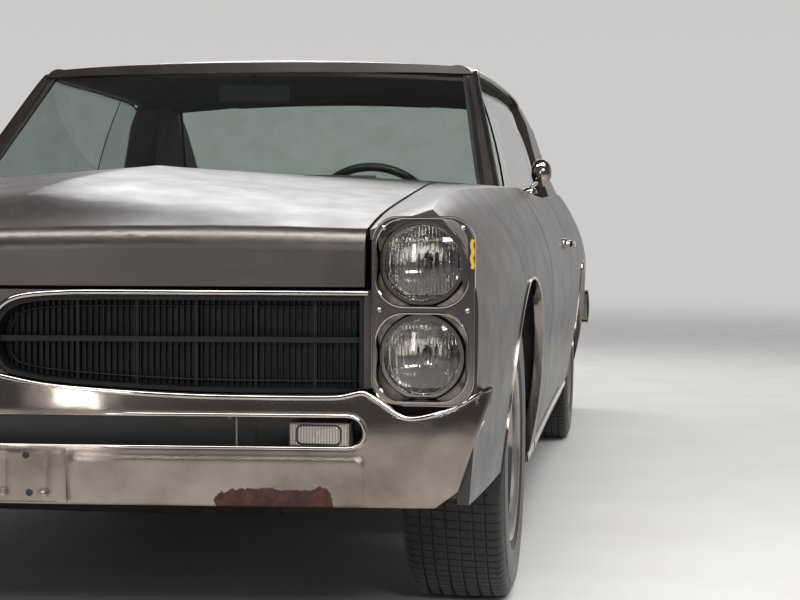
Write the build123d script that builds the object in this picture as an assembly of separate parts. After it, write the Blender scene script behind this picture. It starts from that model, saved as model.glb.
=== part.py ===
from build123d import *
import os
from math import asin, atan2, cos, degrees, hypot, sin, sqrt

# Two-door hardtop coupe of the late 1960s with stacked headlamps, as an assembly.
# Units are millimetres. X points forward, Y to the car's left, Z up. The origin is on the
# ground under the middle of the car's box.

# Overall sizes
LENGTH = 5248
WIDTH = 1896
WHEELBASE = 2921
FRONT_OVERHANG = 945
TRACK = 1580
NOSE_X = LENGTH / 2
FRONT_AXLE_X = NOSE_X - FRONT_OVERHANG
REAR_AXLE_X = FRONT_AXLE_X - WHEELBASE

# Wheels and tyres
TYRE_RADIUS = 333
TYRE_WIDTH = 232
TREAD_WIDTH = 186
SHOULDER_DROP = 20
BEAD_RADIUS = 192
RIM_LIP_RADIUS = BEAD_RADIUS + 13
RIM_WALL = 7
SPINDLE_RADIUS = 18
RUNNING_GAP = 0.3
SPOKES = 5
DRUM_RADIUS = 132
DRUM_DEPTH = 62
KINGPIN_Y = TRACK / 2 - 122
FRONT_ARCH_RADIUS = TYRE_RADIUS + 65
REAR_ARCH_RADIUS = TYRE_RADIUS + 55
ARCH_LIFT = 7
MOULDING_PROUD = 3

# Sheet and panel thicknesses, and the shut line round every opening panel
SKIN = 22
TOP_SKIN = 18
ROOF_SKIN = 34
SHUT_GAP = 7
GLASS = 6
SEAT_GAP = 0.3

# Body side: height of the widest line and of the lower edge
WIDE_Z = 690
SILL_Z = 225
DOOR_FRONT_X = 1020
DOOR_REAR_X = -290
DOOR_GAP = 8
DOOR_JAMB_TAPER = 26
DOOR_BOTTOM_Z = 300
DOOR_CORNER = 22
DOOR_INNER_Y = 804
FENDER_FRONT_X = 2505
TAIL_X = -2545
TAIL_THICKNESS = 18

# Door hinges: one upright axis near the widest line, with two straps in pockets
HINGE_SETBACK = 60
HINGE_Y = 930
HINGE_HEIGHTS = (545, 750)
HINGE_PIN_RADIUS = 5
HINGE_EYE_RADIUS = 8
STRAP_THICKNESS = 8
STRAP_HEIGHT = 24
STRAP_Y = 868
POCKET_RADIUS = 98
POCKET_HEIGHT = 34

# Firewall, cowl and floor
PILLAR_X = 1030
COWL_Z = 955
FLOOR_Z = 250
FLOOR_SHEET = 10
FLOOR_HALF = 780
CABIN_REAR_Y = 700
REAR_HOUSE_RADIUS = REAR_ARCH_RADIUS + 16
SIDE_WALL_REAR_X = -900
JAMB_X = -230
SEAT_Y = 400
SEAT_BASE_Z = 310
SEAT_PAN_Z = 525

# Hood and trunk lid
HOOD_HINGE_X = 1160
HOOD_HINGE_Z = 940
HOOD_REAR_CENTRE_X = 1150
HOOD_REAR_SIDE_X = 1040
HOOD_LIP_Z = 738
HOOD_NOSE_RADIUS = 42
TRUNK_FRONT_X = -1427
TRUNK_REAR_X = -2536
TRUNK_HINGE_X = -1227
TRUNK_HINGE_Z = 937
TRUNK_ARM_Y = 560
TRUNK_ARM_RADIUS = 210
LID_SWEEP_RADIUS = 217
LID_SWEEP_Y = 764

# Front end
FRONT_END_X = 2650
GRILLE_OUTER_Y = 690
BUMPER_CLEARANCE = 4
LAMP_Y = 792
LAMP_X = 2497
LAMP_HEIGHTS = (612, 782)
LAMP_RADIUS = 70
RING_RADIUS = LAMP_RADIUS + 7
BEZEL_FRONT_X = 2535
BEZEL_BACK_X = 2440
BEZEL_CORNER = 46
GRILLE_UPRIGHTS = (164, 272, 380, 488, 596)

# Bumpers and tail
BUMPER_STATIONS = 15
BUMPER_WALL = 8
SLOT_Z = 478
SLOT_HEIGHT = 56
SLOT_HALF = 694
PLATE_HOLE_Y = 88
PLATE_HOLE_HEIGHTS = (364, 432)
PLATE_HOLE_RADIUS = 3.5
REAR_BUMPER_LOW_Z = 402
REAR_BUMPER_TOP_Z = 562
TAIL_LAMP_Z = 700

# Frame and steering
FRAME_FRONT_X = 2400
FRAME_REAR_X = -2470
FRAME_ARM_X = -926.4
BRACKET_Y = 400
REAR_BRACKET_Y = 500
STEERING_Y = 370

# Half sections of the body ahead of the doors: hood and front fender in one sweep.
# Columns: x, centre z, hood edge y, hood edge z, crest y, crest z, widest y, sill y
FRONT_SECTIONS = [
    (2660, 826, 702, 812, 812, 842, 880, 858),
    (2505, 858, 697, 842, 812, 878, 895, 868),
    (2350, 885, 692, 866, 812, 906, 908, 876),
    (2150, 914, 687, 890, 818, 923, 920, 882),
    (1900, 940, 680, 914, 828, 934, 932, 886),
    (1679, 958, 672, 934, 836, 941, 940, 888),
    (1350, 982, 658, 960, 845, 951, 946, 890),
    (1020, 996, 642, 976, 850, 960, 948, 890),
]

# Half sections from the front of the door to the tail: door, quarter panel and deck.
# Columns: x, centre z, lid edge y, lid edge z, crest y, crest z, widest y, sill y
REAR_SECTIONS = [
    (1020, 976, 806, 956, 850, 960, 948, 890),
    (500, 972, 808, 952, 850, 956, 943, 888),
    (0, 970, 810, 950, 852, 955, 940, 886),
    (-290, 974, 811, 954, 853, 960, 940, 886),
    (-600, 986, 810, 967, 855, 973, 943, 886),
    (-900, 998, 802, 979, 857, 986, 946, 886),
    (-1254, 997, 775, 977, 856, 984, 948, 886),
    (-1700, 976, 735, 955, 845, 965, 943, 880),
    (-2150, 945, 700, 925, 825, 938, 925, 868),
    (-2545, 908, 671, 893, 801, 906, 891, 851),
]
SECTION_STEP = 310
SPARE_SECTIONS = 2


def point(x, y, z):
    return Vector(x, y, z)


def row_at(table, x):
    """Row of a section table at any x, on smooth curves through its rows."""
    rows = sorted(table)
    spans = len(rows) - 1
    index = min(max(sum(row[0] <= x for row in rows) - 1, 0), spans - 1)
    before, after = rows[index], rows[index + 1]
    length = after[0] - before[0]
    share = (x - before[0]) / length

    def slope(number, column):
        first = max(number - 1, 0)
        last = min(number + 1, spans)
        return (rows[last][column] - rows[first][column]) / (rows[last][0] - rows[first][0])

    values = [float(x)]
    for column in range(1, len(before)):
        rise = after[column] - before[column]
        start = slope(index, column) * length
        finish = slope(index + 1, column) * length
        if 0 <= share <= 1:
            curve = (start + finish - 2 * rise) * share + 3 * rise - 2 * start - finish
            values.append(before[column] + start * share + curve * share * share)
        elif share < 0:
            values.append(before[column] + start * share)
        else:
            values.append(after[column] + finish * (share - 1))
    return tuple(values)


def even_rows(table):
    """Rows at an even spacing, with spare rows past both ends that are trimmed off later."""
    first, last = table[0][0], table[-1][0]
    spans = round((first - last) / SECTION_STEP)
    step = (first - last) / spans
    numbers = range(-SPARE_SECTIONS, spans + SPARE_SECTIONS + 1)
    return [row_at(table, first - number * step) for number in numbers]


def side_arc(x, y0, z0, wide_y, wide_z):
    """Arc in the plane x from (y0, z0) to the widest line, upright where it meets that line."""
    width = wide_y - y0
    height = z0 - wide_z
    radius = (width * width + height * height) / (2 * width)
    half = asin(height / radius) / 2
    middle = point(x, wide_y - radius + radius * cos(half), wide_z + radius * sin(half))
    return point(x, y0, z0), middle, point(x, wide_y, wide_z)


def closed_wire(*edges):
    return Wire(list(edges))


def skin_edges(row):
    """Edges of one half section, from the middle of the car down to the sill."""
    x, centre_z, edge_y, edge_z, crest_y, crest_z, wide_y, sill_y = row
    drop = centre_z - edge_z
    radius = (edge_y * edge_y + drop * drop) / (2 * drop)
    crown_z = centre_z - radius + sqrt(radius * radius - edge_y * edge_y / 4)
    centre = point(x, 0, centre_z)
    edge = point(x, edge_y, edge_z)
    crest, upper_middle, wide = side_arc(x, crest_y, crest_z, wide_y, WIDE_Z)
    sill, lower_middle, wide = side_arc(x, sill_y, SILL_Z, wide_y, WIDE_Z)
    crown = ThreePointArc(centre, point(x, edge_y / 2, crown_z), edge)
    shelf = Line(edge, crest)
    upper = ThreePointArc(crest, upper_middle, wide)
    lower = ThreePointArc(wide, lower_middle, sill)
    return [crown, shelf, upper, lower], centre, sill


def inset(row):
    x, centre_z, edge_y, edge_z, crest_y, crest_z, wide_y, sill_y = row
    return (x, centre_z - TOP_SKIN, edge_y, edge_z - TOP_SKIN, crest_y - SKIN / 2,
            crest_z - TOP_SKIN, wide_y - SKIN, sill_y - SKIN)


def grow(row, by):
    x, centre_z, edge_y, edge_z, crest_y, crest_z, wide_y, sill_y = row
    return (x, centre_z + by, edge_y, edge_z + by, crest_y + by / 2, crest_z + by,
            wide_y + by, sill_y + by)


def shell_wire(row):
    """Closed half section of the skin as a band of sheet."""
    outer, centre, sill = skin_edges(row)
    inner, inner_centre, inner_sill = skin_edges(inset(row))
    return closed_wire(*outer, *inner, Line(centre, inner_centre), Line(sill, inner_sill))


def block_wire(row):
    """Closed half section of all that lies under the skin's edges."""
    edges, centre, sill = skin_edges(row)
    foot = point(row[0], 0, SILL_Z)
    return closed_wire(*edges, Line(sill, foot), Line(foot, centre))


def box(x0, x1, y0, y1, z0, z1):
    """Box between two corners."""
    size = (abs(x1 - x0), abs(y1 - y0), abs(z1 - z0))
    middle = ((x0 + x1) / 2, (y0 + y1) / 2, (z0 + z1) / 2)
    return Pos(*middle) * Box(*size)


def cylinder_y(radius, x, z, y0, y1):
    middle = Location((x, (y0 + y1) / 2, z), (90, 0, 0))
    return middle * Cylinder(radius, abs(y1 - y0))


def prism_xz(points, y0, y1):
    """Outline in the side view, given as (x, z), pushed across the car from y0 to y1."""
    face = make_face(Polyline(*[point(x, y0, z) for x, z in points], close=True))
    return Solid.extrude(face.face(), Vector(0, y1 - y0, 0))


def prism_xy(points, z0, z1):
    """Outline in plan, given as (x, y), pushed up from z0 to z1."""
    face = make_face(Polyline(*[point(x, y, z0) for x, y in points], close=True))
    return Solid.extrude(face.face(), Vector(0, 0, z1 - z0))


def prism_yz(points, x0, x1):
    """Outline in the front view, given as (y, z), pushed along the car from x0 to x1."""
    face = make_face(Polyline(*[point(x0, y, z) for y, z in points], close=True))
    return Solid.extrude(face.face(), Vector(x1 - x0, 0, 0))


def rounded_x(y, z, width, height, radius, x0, x1):
    """Block with a rounded outline in the front view, from x0 to x1."""
    plane = Plane(origin=(min(x0, x1), y, z), x_dir=(0, 1, 0), z_dir=(1, 0, 0))
    outline = plane * RectangleRounded(width, height, radius)
    return Solid.extrude(outline.face(), Vector(abs(x1 - x0), 0, 0))


def rounded_z(x, y, width, height, radius, z0, z1):
    """Block with a rounded outline in plan: width along X, height along Y."""
    outline = Pos(x, y, z0) * RectangleRounded(width, height, radius)
    return Solid.extrude(outline.face(), Vector(0, 0, z1 - z0))


def rounded_y(x, z, width, height, radius, y0, y1):
    """Block with a rounded outline in the side view: width along X, height along Z."""
    plane = Plane(origin=(x, max(y0, y1), z), x_dir=(1, 0, 0), z_dir=(0, -1, 0))
    outline = plane * RectangleRounded(width, height, radius)
    return Solid.extrude(outline.face(), Vector(0, -abs(y1 - y0), 0))


def mirrored(shape):
    return shape.mirror(Plane.XZ)


# Roof sections. Columns: x, rail y, rail z, shoulder y, shoulder z, crown z
ROOF_SECTIONS = [
    (620, 650, 1316, 596, 1332, 1346),
    (450, 684, 1318, 622, 1346, 1372),
    (268, 702, 1318, 634, 1355, 1387),
    (-150, 716, 1318, 642, 1362, 1394),
    (-560, 724, 1310, 642, 1350, 1384),
    (-760, 722, 1290, 630, 1326, 1358),
]

WINDSHIELD_FOOT_Z = 957
WINDSHIELD_TOP_Z = 1328
BACK_GLASS_FOOT_Z = 966
BACK_GLASS_TOP_Z = 1330

# Side glass sections. Columns: x, foot y, top y
GLASS_SECTIONS = [
    (900, 812, 664),
    (450, 816, 676),
    (-150, 818, 700),
    (-640, 818, 708),
]
GLASS_FOOT_Z = 900
GLASS_TOP_Z = 1305


def roof_wire(row):
    """Closed section of the roof shell: rails, shoulders and crown, and the lining below."""
    x, rail_y, rail_z, shoulder_y, shoulder_z, crown_z = row
    bulge_y = (rail_y + shoulder_y) / 2 + 8
    bulge_z = (rail_z + shoulder_z) / 2 + 9
    inner_rail_y = rail_y - ROOF_SKIN
    edges = [ThreePointArc(point(x, -shoulder_y, shoulder_z), point(x, 0, crown_z),
                           point(x, shoulder_y, shoulder_z))]
    for side in (1, -1):
        rail = point(x, side * rail_y, rail_z)
        bulge = point(x, side * bulge_y, bulge_z)
        shoulder = point(x, side * shoulder_y, shoulder_z)
        edges.append(ThreePointArc(rail, bulge, shoulder))
        edges.append(Line(rail, point(x, side * inner_rail_y, rail_z)))
    inner_left = point(x, inner_rail_y, rail_z)
    inner_right = point(x, -inner_rail_y, rail_z)
    edges.append(ThreePointArc(inner_left, point(x, 0, crown_z - ROOF_SKIN), inner_right))
    return Wire.combine(edges)[0]


def pane_wire(z, side_x, side_y, centre_x, thickness):
    """Closed level section of a curved pane: two arcs and two short ends."""
    front = ThreePointArc(point(side_x, -side_y, z), point(centre_x, 0, z), point(side_x, side_y, z))
    back_x = side_x - thickness
    centre_back_x = centre_x - thickness
    back = ThreePointArc(point(back_x, -side_y, z), point(centre_back_x, 0, z),
                         point(back_x, side_y, z))
    ends = [Line(point(side_x, side, z), point(back_x, side, z)) for side in (-side_y, side_y)]
    return closed_wire(front, ends[0], back, ends[1])


def windshield(clear=0):
    """Curved windshield, or with a clearance the solid that cuts its seat."""
    thickness = 10 + 2 * clear
    lower = pane_wire(WINDSHIELD_FOOT_Z, 905 + clear, 745 + clear, 1112 + clear, thickness)
    upper = pane_wire(WINDSHIELD_TOP_Z, 497 + clear, 655 + clear, 592 + clear, thickness)
    return Solid.make_loft([lower, upper], ruled=True)


def back_glass(clear=0):
    thickness = 10 + 2 * clear
    lower = pane_wire(BACK_GLASS_FOOT_Z, -1125 + clear, 690 + clear, -1090 + clear, thickness)
    upper = pane_wire(BACK_GLASS_TOP_Z, -752 + clear, 612 + clear, -725 + clear, thickness)
    return Solid.make_loft([lower, upper], ruled=True)


def arch_cutter(radius, axle_x, y0, y1):
    """Wheel opening: a round top over straight sides down to the sill."""
    centre_z = TYRE_RADIUS + ARCH_LIFT
    lower = box(axle_x - radius, axle_x + radius, y0, y1, 0, centre_z)
    return cylinder_y(radius, axle_x, centre_z, y0, y1) + lower


def door_plan(gap):
    """Door outline in plan, larger by a gap. The rear face tapers so that it can swing out."""
    front = DOOR_FRONT_X - DOOR_GAP / 2 + gap
    rear = DOOR_REAR_X + DOOR_GAP / 2 - gap
    inner = DOOR_INNER_Y - gap
    return [(front, 1100), (front, inner + DOOR_CORNER), (front - DOOR_CORNER, inner),
            (rear + DOOR_JAMB_TAPER, inner), (rear, WIDTH / 2), (rear, 1100)]


def hinge_pin(z):
    return Pos(hinge_x(), HINGE_Y, z) * Cylinder(HINGE_PIN_RADIUS, POCKET_HEIGHT)


def hinge_x():
    return DOOR_FRONT_X - DOOR_GAP / 2 - HINGE_SETBACK


def loft_between(wires, x0, x1):
    """Loft through even sections, trimmed to the stretch that they are made for."""
    return Solid.make_loft(wires) & box(x0, x1, -10, WIDTH, 0, 1500)


def line_outline(table, x0, x1, shift):
    """Plan outline of all inside the hood's or the lid's edge line, moved inward by a shift."""
    rows = [row for row in even_rows(table) if x1 - SECTION_STEP <= row[0] <= x0 + SECTION_STEP]
    side = [(row[0], row[2] - shift) for row in rows]
    return prism_xy([(side[0][0], -1), *side, (side[-1][0], -1)], 300, 1300) & box(
        x0, x1, -1, 1000, 300, 1300)


front_rows = even_rows(FRONT_SECTIONS)
rear_rows = even_rows(REAR_SECTIONS)
front_span = (DOOR_FRONT_X - 4, FRONT_END_X)
rear_span = (TAIL_X, DOOR_FRONT_X + 4)
front_shell = loft_between([shell_wire(row) for row in front_rows], *front_span)
rear_shell = loft_between([shell_wire(row) for row in rear_rows], *rear_span)
front_block = loft_between([block_wire(row) for row in front_rows], *front_span)
rear_block = loft_between([block_wire(row) for row in rear_rows], *rear_span)
front_core = loft_between([block_wire(inset(row)) for row in front_rows], *front_span)
rear_core = loft_between([block_wire(inset(row)) for row in rear_rows], *rear_span)
hood_area = line_outline(FRONT_SECTIONS, FRONT_END_X, DOOR_FRONT_X - 4, 0)
hood_inside = line_outline(FRONT_SECTIONS, FRONT_END_X, DOOR_FRONT_X - 4, SHUT_GAP)
deck_area = line_outline(REAR_SECTIONS, DOOR_FRONT_X + 4, TAIL_X - 5, 0)
lid_inside = line_outline(REAR_SECTIONS, DOOR_FRONT_X + 4, TAIL_X - 5, SHUT_GAP)
door_block = rear_block & box(DOOR_REAR_X - 5, DOOR_FRONT_X, DOOR_INNER_Y, WIDTH, 0, 1300)
front_arch = arch_cutter(FRONT_ARCH_RADIUS, FRONT_AXLE_X, 600, 1100)
rear_arch = arch_cutter(REAR_ARCH_RADIUS, REAR_AXLE_X, 640, 1100)


def front_fender():
    """Left front fender with the boss and pin that carry the hood."""
    shape = front_shell - hood_area - front_arch
    shape &= box(DOOR_FRONT_X, FENDER_FRONT_X, 0, WIDTH, 0, 1300)
    for z in LAMP_HEIGHTS:
        shape -= lamp_disc(RING_RADIUS + 1, z, BEZEL_BACK_X, FENDER_FRONT_X + 5)
    shape -= box(DOOR_FRONT_X - 20, DOOR_FRONT_X + DOOR_GAP / 2, 500, 1100, 0, 1200)
    shape -= box(FRONT_AXLE_X + 300, NOSE_X, 500, 1100, 0, 345)
    boss = box(HOOD_HINGE_X - 14, HOOD_HINGE_X + 14, 648, 672, HOOD_HINGE_Z - 16, HOOD_HINGE_Z + 6)
    pin = cylinder_y(5, HOOD_HINGE_X, HOOD_HINGE_Z, 606, 650)
    return shape + boss + pin


def quarter_panel():
    """Left quarter panel with the rocker, the door jamb and the cabin's rear side wall."""
    rocker_top = DOOR_BOTTOM_Z - SHUT_GAP
    hollow = rear_core & box(TAIL_X - 5, SIDE_WALL_REAR_X, -10, WIDTH, 0, 1300)
    deck = deck_area & box(TAIL_X - 5, SIDE_WALL_REAR_X, -10, WIDTH, 0, 1300)
    lining = [(-10, 0), (CABIN_REAR_Y, 0), (CABIN_REAR_Y, 600), (812, 1000), (812, 1100), (-10, 1100)]
    cabin = prism_yz(lining, SIDE_WALL_REAR_X, JAMB_X)
    entry = box(JAMB_X, 1100, -10, DOOR_INNER_Y, rocker_top, 1100)
    under = box(JAMB_X, 1100, -10, FLOOR_HALF, 0, rocker_top + 5)
    house = cylinder_y(REAR_HOUSE_RADIUS + 10, REAR_AXLE_X, TYRE_RADIUS + ARCH_LIFT, 500, WIDTH)
    house = house & rear_core
    foot = box(1011.7, 1100, -10, 802, 0, rocker_top + 5)
    doorway = prism_xy(door_plan(DOOR_GAP), rocker_top, 1200)
    shape = rear_block
    for cutter in (hollow, deck, cabin, entry, under, foot, house, doorway):
        shape = shape - cutter
    shape -= rear_arch
    shape -= box(-2700, REAR_AXLE_X - 300, 500, 1100, 0, 345)
    return shape


def door():
    """Left door as one solid body with its hinge pockets and pins."""
    shape = door_block & prism_xy(door_plan(0), DOOR_BOTTOM_Z, 1200)
    for z in HINGE_HEIGHTS:
        pocket = Pos(hinge_x(), HINGE_Y, z) * Cylinder(POCKET_RADIUS, POCKET_HEIGHT)
        pocket &= box(hinge_x() - 16, DOOR_FRONT_X, 0, HINGE_Y + 9, 0, 1200)
        shape = shape - pocket + hinge_pin(z)
    return shape


def door_strap(z):
    """Hinge strap from the pillar, round the door's front corner to the pin."""
    x = hinge_x()
    half = STRAP_THICKNESS / 2
    eye = Pos(x, HINGE_Y, z) * Cylinder(HINGE_EYE_RADIUS, STRAP_HEIGHT)
    inward = box(x - half, x + half, STRAP_Y - half, HINGE_Y, z - 12, z + 12)
    forward = box(x - half, PILLAR_X, STRAP_Y - half, STRAP_Y + half, z - 12, z + 12)
    hole = Pos(x, HINGE_Y, z) * Cylinder(HINGE_PIN_RADIUS + RUNNING_GAP, POCKET_HEIGHT)
    return eye + inward + forward - hole


def firewall():
    """Firewall, cowl top and the two hinge pillars with their straps."""
    wall = box(1012, PILLAR_X, -785, 785, FLOOR_Z, COWL_Z - 20)
    wall -= box(1000, PILLAR_X + 10, -172, 172, 0, 402)
    side_x = HOOD_REAR_SIDE_X - 16
    arc = ThreePointArc(point(side_x, 640, COWL_Z - 20), point(HOOD_REAR_CENTRE_X - 42, 0, COWL_Z - 20),
                        point(side_x, -640, COWL_Z - 20))
    ring = [(side_x, -640), (1018, -648), (1018, -785), (860, -785),
            (860, 785), (1018, 785), (1018, 648), (side_x, 640)]
    line = Polyline(*[point(x, y, COWL_Z - 20) for x, y in ring])
    plate = Solid.extrude(make_face([arc, line]).face(), Vector(0, 0, 20))
    shape = wall + plate
    pillar = box(PILLAR_X, PILLAR_X + 55, 780, 940, FLOOR_Z, 925) & front_core
    straps = [door_strap(z) for z in HINGE_HEIGHTS]
    for piece in (pillar, *straps):
        shape = shape + piece + mirrored(piece)
    link = box(1012, PILLAR_X + 55, 770, 800, FLOOR_Z, 925)
    return shape + link + mirrored(link)


def rolled_nose(half):
    """Rounds the hood's front edge over to the upright lip."""
    crest = [edge for edge in half.edges() if edge.length > 500 and edge.center().X > 2500]
    crest = sorted(crest, key=lambda edge: edge.center().Z)[-1]
    return fillet([crest], HOOD_NOSE_RADIUS)


def hood():
    """Hood skin with its front lip, side clearances and two hinge lugs."""
    under = front_core - prism_xy(nose_plan(0, 26, 760), HOOD_LIP_Z - 1, 1000)
    half = front_block & hood_inside & box(DOOR_FRONT_X, FRONT_END_X, 0, WIDTH, HOOD_LIP_Z, 1300)
    half = half - under
    half &= prism_xy(nose_plan(0, 2000, 1300), 0, 1300)
    half = rolled_nose(half)
    shape = half + mirrored(half)
    rear = HOOD_REAR_SIDE_X
    arc = ThreePointArc(point(rear, 660, 0), point(HOOD_REAR_CENTRE_X, 0, 0), point(rear, -660, 0))
    nose = [(rear, -660), (2520, -720), (NOSE_X - 10, 0), (2520, 720), (rear, 660)]
    outline = make_face([arc, Polyline(*[point(x, y, 0) for x, y in nose])])
    shape = shape & Solid.extrude(outline.face(), Vector(0, 0, 1200))
    for side in (-1, 1):
        y0 = 610 if side > 0 else -630
        lug = cylinder_y(12, HOOD_HINGE_X, HOOD_HINGE_Z, y0, y0 + 20)
        lug += box(HOOD_HINGE_X - 12, HOOD_HINGE_X + 12, y0, y0 + 20, HOOD_HINGE_Z, 968)
        lug -= cylinder_y(5 + RUNNING_GAP, HOOD_HINGE_X, HOOD_HINGE_Z, y0 - 5, y0 + 25)
        shape = shape + lug
    return shape


def nose_plan(back, depth, half):
    """The nose's shallow V in plan, as a band of one depth."""
    tip = NOSE_X - 10 - back
    side = 2520 - back + (720 - half) * (NOSE_X - 2530) / 720
    return [(tip, 0), (side, half), (side - depth, half), (tip - depth, 0),
            (side - depth, -half), (side, -half)]


# Front bumper seen from in front, left half: its upper edge from the middle to the lamps, then
# the dip under the lamps. Columns: y, z
BUMPER_TOP_EDGE = [(0, 583), (37, 575.4), (90, 564.6), (143, 557.4), (254, 549.5), (386, 543.4),
                   (517, 541.8), (620, 542), (656, 543.9), (689, 551.2)]
BUMPER_DIP_EDGE = [(689, 551.2), (705, 546), (731, 530), (757, 512), (783, 506.1), (823, 514.3),
                   (862, 529.8), (890, 546), (924, 561)]

# Left grille opening seen from in front, round its inner end. Columns: y, z
GRILLE_EDGE = [(216, 722), (144, 720.5), (81, 715), (48, 703), (28, 680), (19, 645), (22, 610),
               (38, 583), (62, 572.5), (90, 566), (143, 559), (254, 551), (386, 545), (517, 543.4),
               (620, 543.6)]


def moved_in(points, distance):
    """Points of an open line moved sideways by one distance, to the left of its direction."""
    moved = []
    for index, (y, z) in enumerate(points):
        y0, z0 = points[max(index - 1, 0)]
        y1, z1 = points[min(index + 1, len(points) - 1)]
        length = hypot(y1 - y0, z1 - z0)
        moved.append((y - distance * (z1 - z0) / length, z + distance * (y1 - y0) / length))
    return moved


def grille_cutter(inset_by, x0, x1):
    """One grille opening pushed along X: round at the nose, square at the lamps."""
    edge = moved_in(GRILLE_EDGE, inset_by)
    curve = Spline(*[point(0, y, z) for y, z in edge])
    (y_top, z_top), (y_low, z_low) = edge[0], edge[-1]
    outer = GRILLE_OUTER_Y - inset_by
    rest = Polyline(point(0, y_low, z_low), point(0, outer, z_low), point(0, outer, z_top),
                    point(0, y_top, z_top))
    face = make_face([curve, *rest.edges()]).face()
    return Solid.extrude(face.moved(Location((x0, 0, 0))), Vector(x1 - x0, 0, 0))


def bumper_room(margin, x0, x1):
    """Everything below the bumper's upper edge raised by a margin, left half, pushed along X."""
    edge = Spline(*[point(x0, y, z + margin) for y, z in BUMPER_TOP_EDGE])
    last_y, last_z = BUMPER_TOP_EDGE[-1]
    rest = Polyline(point(x0, last_y, last_z + margin), point(x0, 720, last_z + margin), point(x0, 720, 300),
                    point(x0, 0, 300), point(x0, 0, 583 + margin))
    face = make_face([edge, *rest.edges()]).face()
    return Solid.extrude(face, Vector(x1 - x0, 0, 0))


def nose_panel():
    """Nose panel with the two grille openings, cut clear of the bumper, and the lower valance."""
    shape = prism_xy(nose_plan(0, 80, 706), 530, HOOD_LIP_Z - SHUT_GAP)
    room = bumper_room(BUMPER_CLEARANCE, 2400, 2700)
    opening = grille_cutter(0, 2400, 2700)
    for cutter in (opening, mirrored(opening), room, mirrored(room)):
        shape -= cutter
    backing = prism_xy(nose_plan(66, 14, 706), 500, 590)
    valance = prism_xy(nose_plan(66, 14, 860), 345, 520)
    shape = shape + backing + valance
    for y in (BRACKET_Y, -BRACKET_Y):
        shape -= box(2400, 2700, y - 25, y + 25, 380, 420)
    return shape


def grille():
    """Left grille: back plate, wide bar across, uprights and a frame round them."""
    band = prism_xy(nose_plan(34, 20, 700), 500, 800)
    inside = grille_cutter(4, 2400, 2700)
    shape = (grille_cutter(0, 2400, 2700) - grille_cutter(9, 2400, 2700))
    shape &= prism_xy(nose_plan(6, 48, 700), 500, 800)
    shape = shape + (inside & prism_xy(nose_plan(48, 6, 700), 500, 800))
    bar = box(2400, 2700, 0, GRILLE_OUTER_Y, 636, 646)
    shape += bar & inside & prism_xy(nose_plan(20, 30, 700), 500, 800)
    for y in GRILLE_UPRIGHTS:
        shape += box(2400, 2700, y - 3, y + 3, 500, 800) & inside & band
    return shape


def lamp_disc(radius, z, x0, x1):
    """Disc about a lamp's axis."""
    middle = Location(((x0 + x1) / 2, LAMP_Y, z), (0, 90, 0))
    return middle * Cylinder(radius, abs(x1 - x0))


def headlamp_bezel():
    """Left bezel: a frame round two square pockets, each with the lamp's round hole."""
    shape = rounded_x(798, 696, 184, 338, BEZEL_CORNER, FENDER_FRONT_X, BEZEL_FRONT_X)
    bucket = rounded_x(798, 696, 184, 338, BEZEL_CORNER, BEZEL_BACK_X, FENDER_FRONT_X) & front_core
    shape = shape + bucket
    for z in LAMP_HEIGHTS:
        shape -= rounded_x(796, z + 1, 166, 157, 52, LAMP_X - 12, BEZEL_FRONT_X + 10)
        shape -= lamp_disc(RING_RADIUS + 0.3, z, LAMP_X - 30, LAMP_X + 20)
        shape -= lamp_disc(LAMP_RADIUS - 6, z, BEZEL_BACK_X - 5, LAMP_X)
    return shape


def headlamp(z):
    """Sealed-beam lamp: bowl and domed lens in one solid of revolution."""
    dome = ThreePointArc(point(8, 0, 0), point(5.5, LAMP_RADIUS * 0.6, 0), point(-2, LAMP_RADIUS, 0))
    edges = [dome, Line(point(-2, LAMP_RADIUS, 0), point(-14, LAMP_RADIUS, 0)),
             Line(point(-14, LAMP_RADIUS, 0), point(-44, 30, 0)),
             Line(point(-44, 30, 0), point(-44, 0, 0)), Line(point(-44, 0, 0), point(8, 0, 0))]
    bowl = Solid.revolve(make_face(edges).face(), 360, Axis.X)
    return bowl.moved(Location((LAMP_X, LAMP_Y, z)))


def headlamp_ring(z):
    ring = lamp_disc(RING_RADIUS, z, LAMP_X - 14, LAMP_X + 3)
    return ring - lamp_disc(LAMP_RADIUS + 0.2, z, LAMP_X - 20, LAMP_X + 10)


def roof():
    """Roof shell with windshield pillars and rear sails, seated round both glasses."""
    shape = Solid.make_loft([roof_wire(row) for row in ROOF_SECTIONS])
    front = ThreePointArc(point(506, 720, 1200), point(602, 0, 1200), point(506, -720, 1200))
    outline = make_face([front, Polyline(point(506, -720, 1200), point(506, -800, 1200),
                                         point(-900, -800, 1200), point(-900, 800, 1200),
                                         point(506, 800, 1200), point(506, 720, 1200))])
    shape = shape & Solid.extrude(outline.face(), Vector(0, 0, 400))
    pillar = windshield_pillar()
    sail = rear_sail()
    for piece in (pillar, sail, mirrored(pillar), mirrored(sail)):
        shape = shape + piece
    shape = shape - windshield(0.3) - back_glass(0.3)
    return shape


def windshield_pillar():
    """Left windshield pillar, from the cowl to the roof's front corner."""
    foot = [(912, 742), (898, 782), (838, 790), (846, 752)]
    head = [(508, 650), (500, 676), (446, 682), (440, 656)]
    lower = Polyline(*[point(x, y, COWL_Z) for x, y in foot], close=True)
    upper = Polyline(*[point(x, y, 1326) for x, y in head], close=True)
    return Solid.make_loft([Wire(lower.edges()), Wire(upper.edges())], ruled=True)


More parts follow.
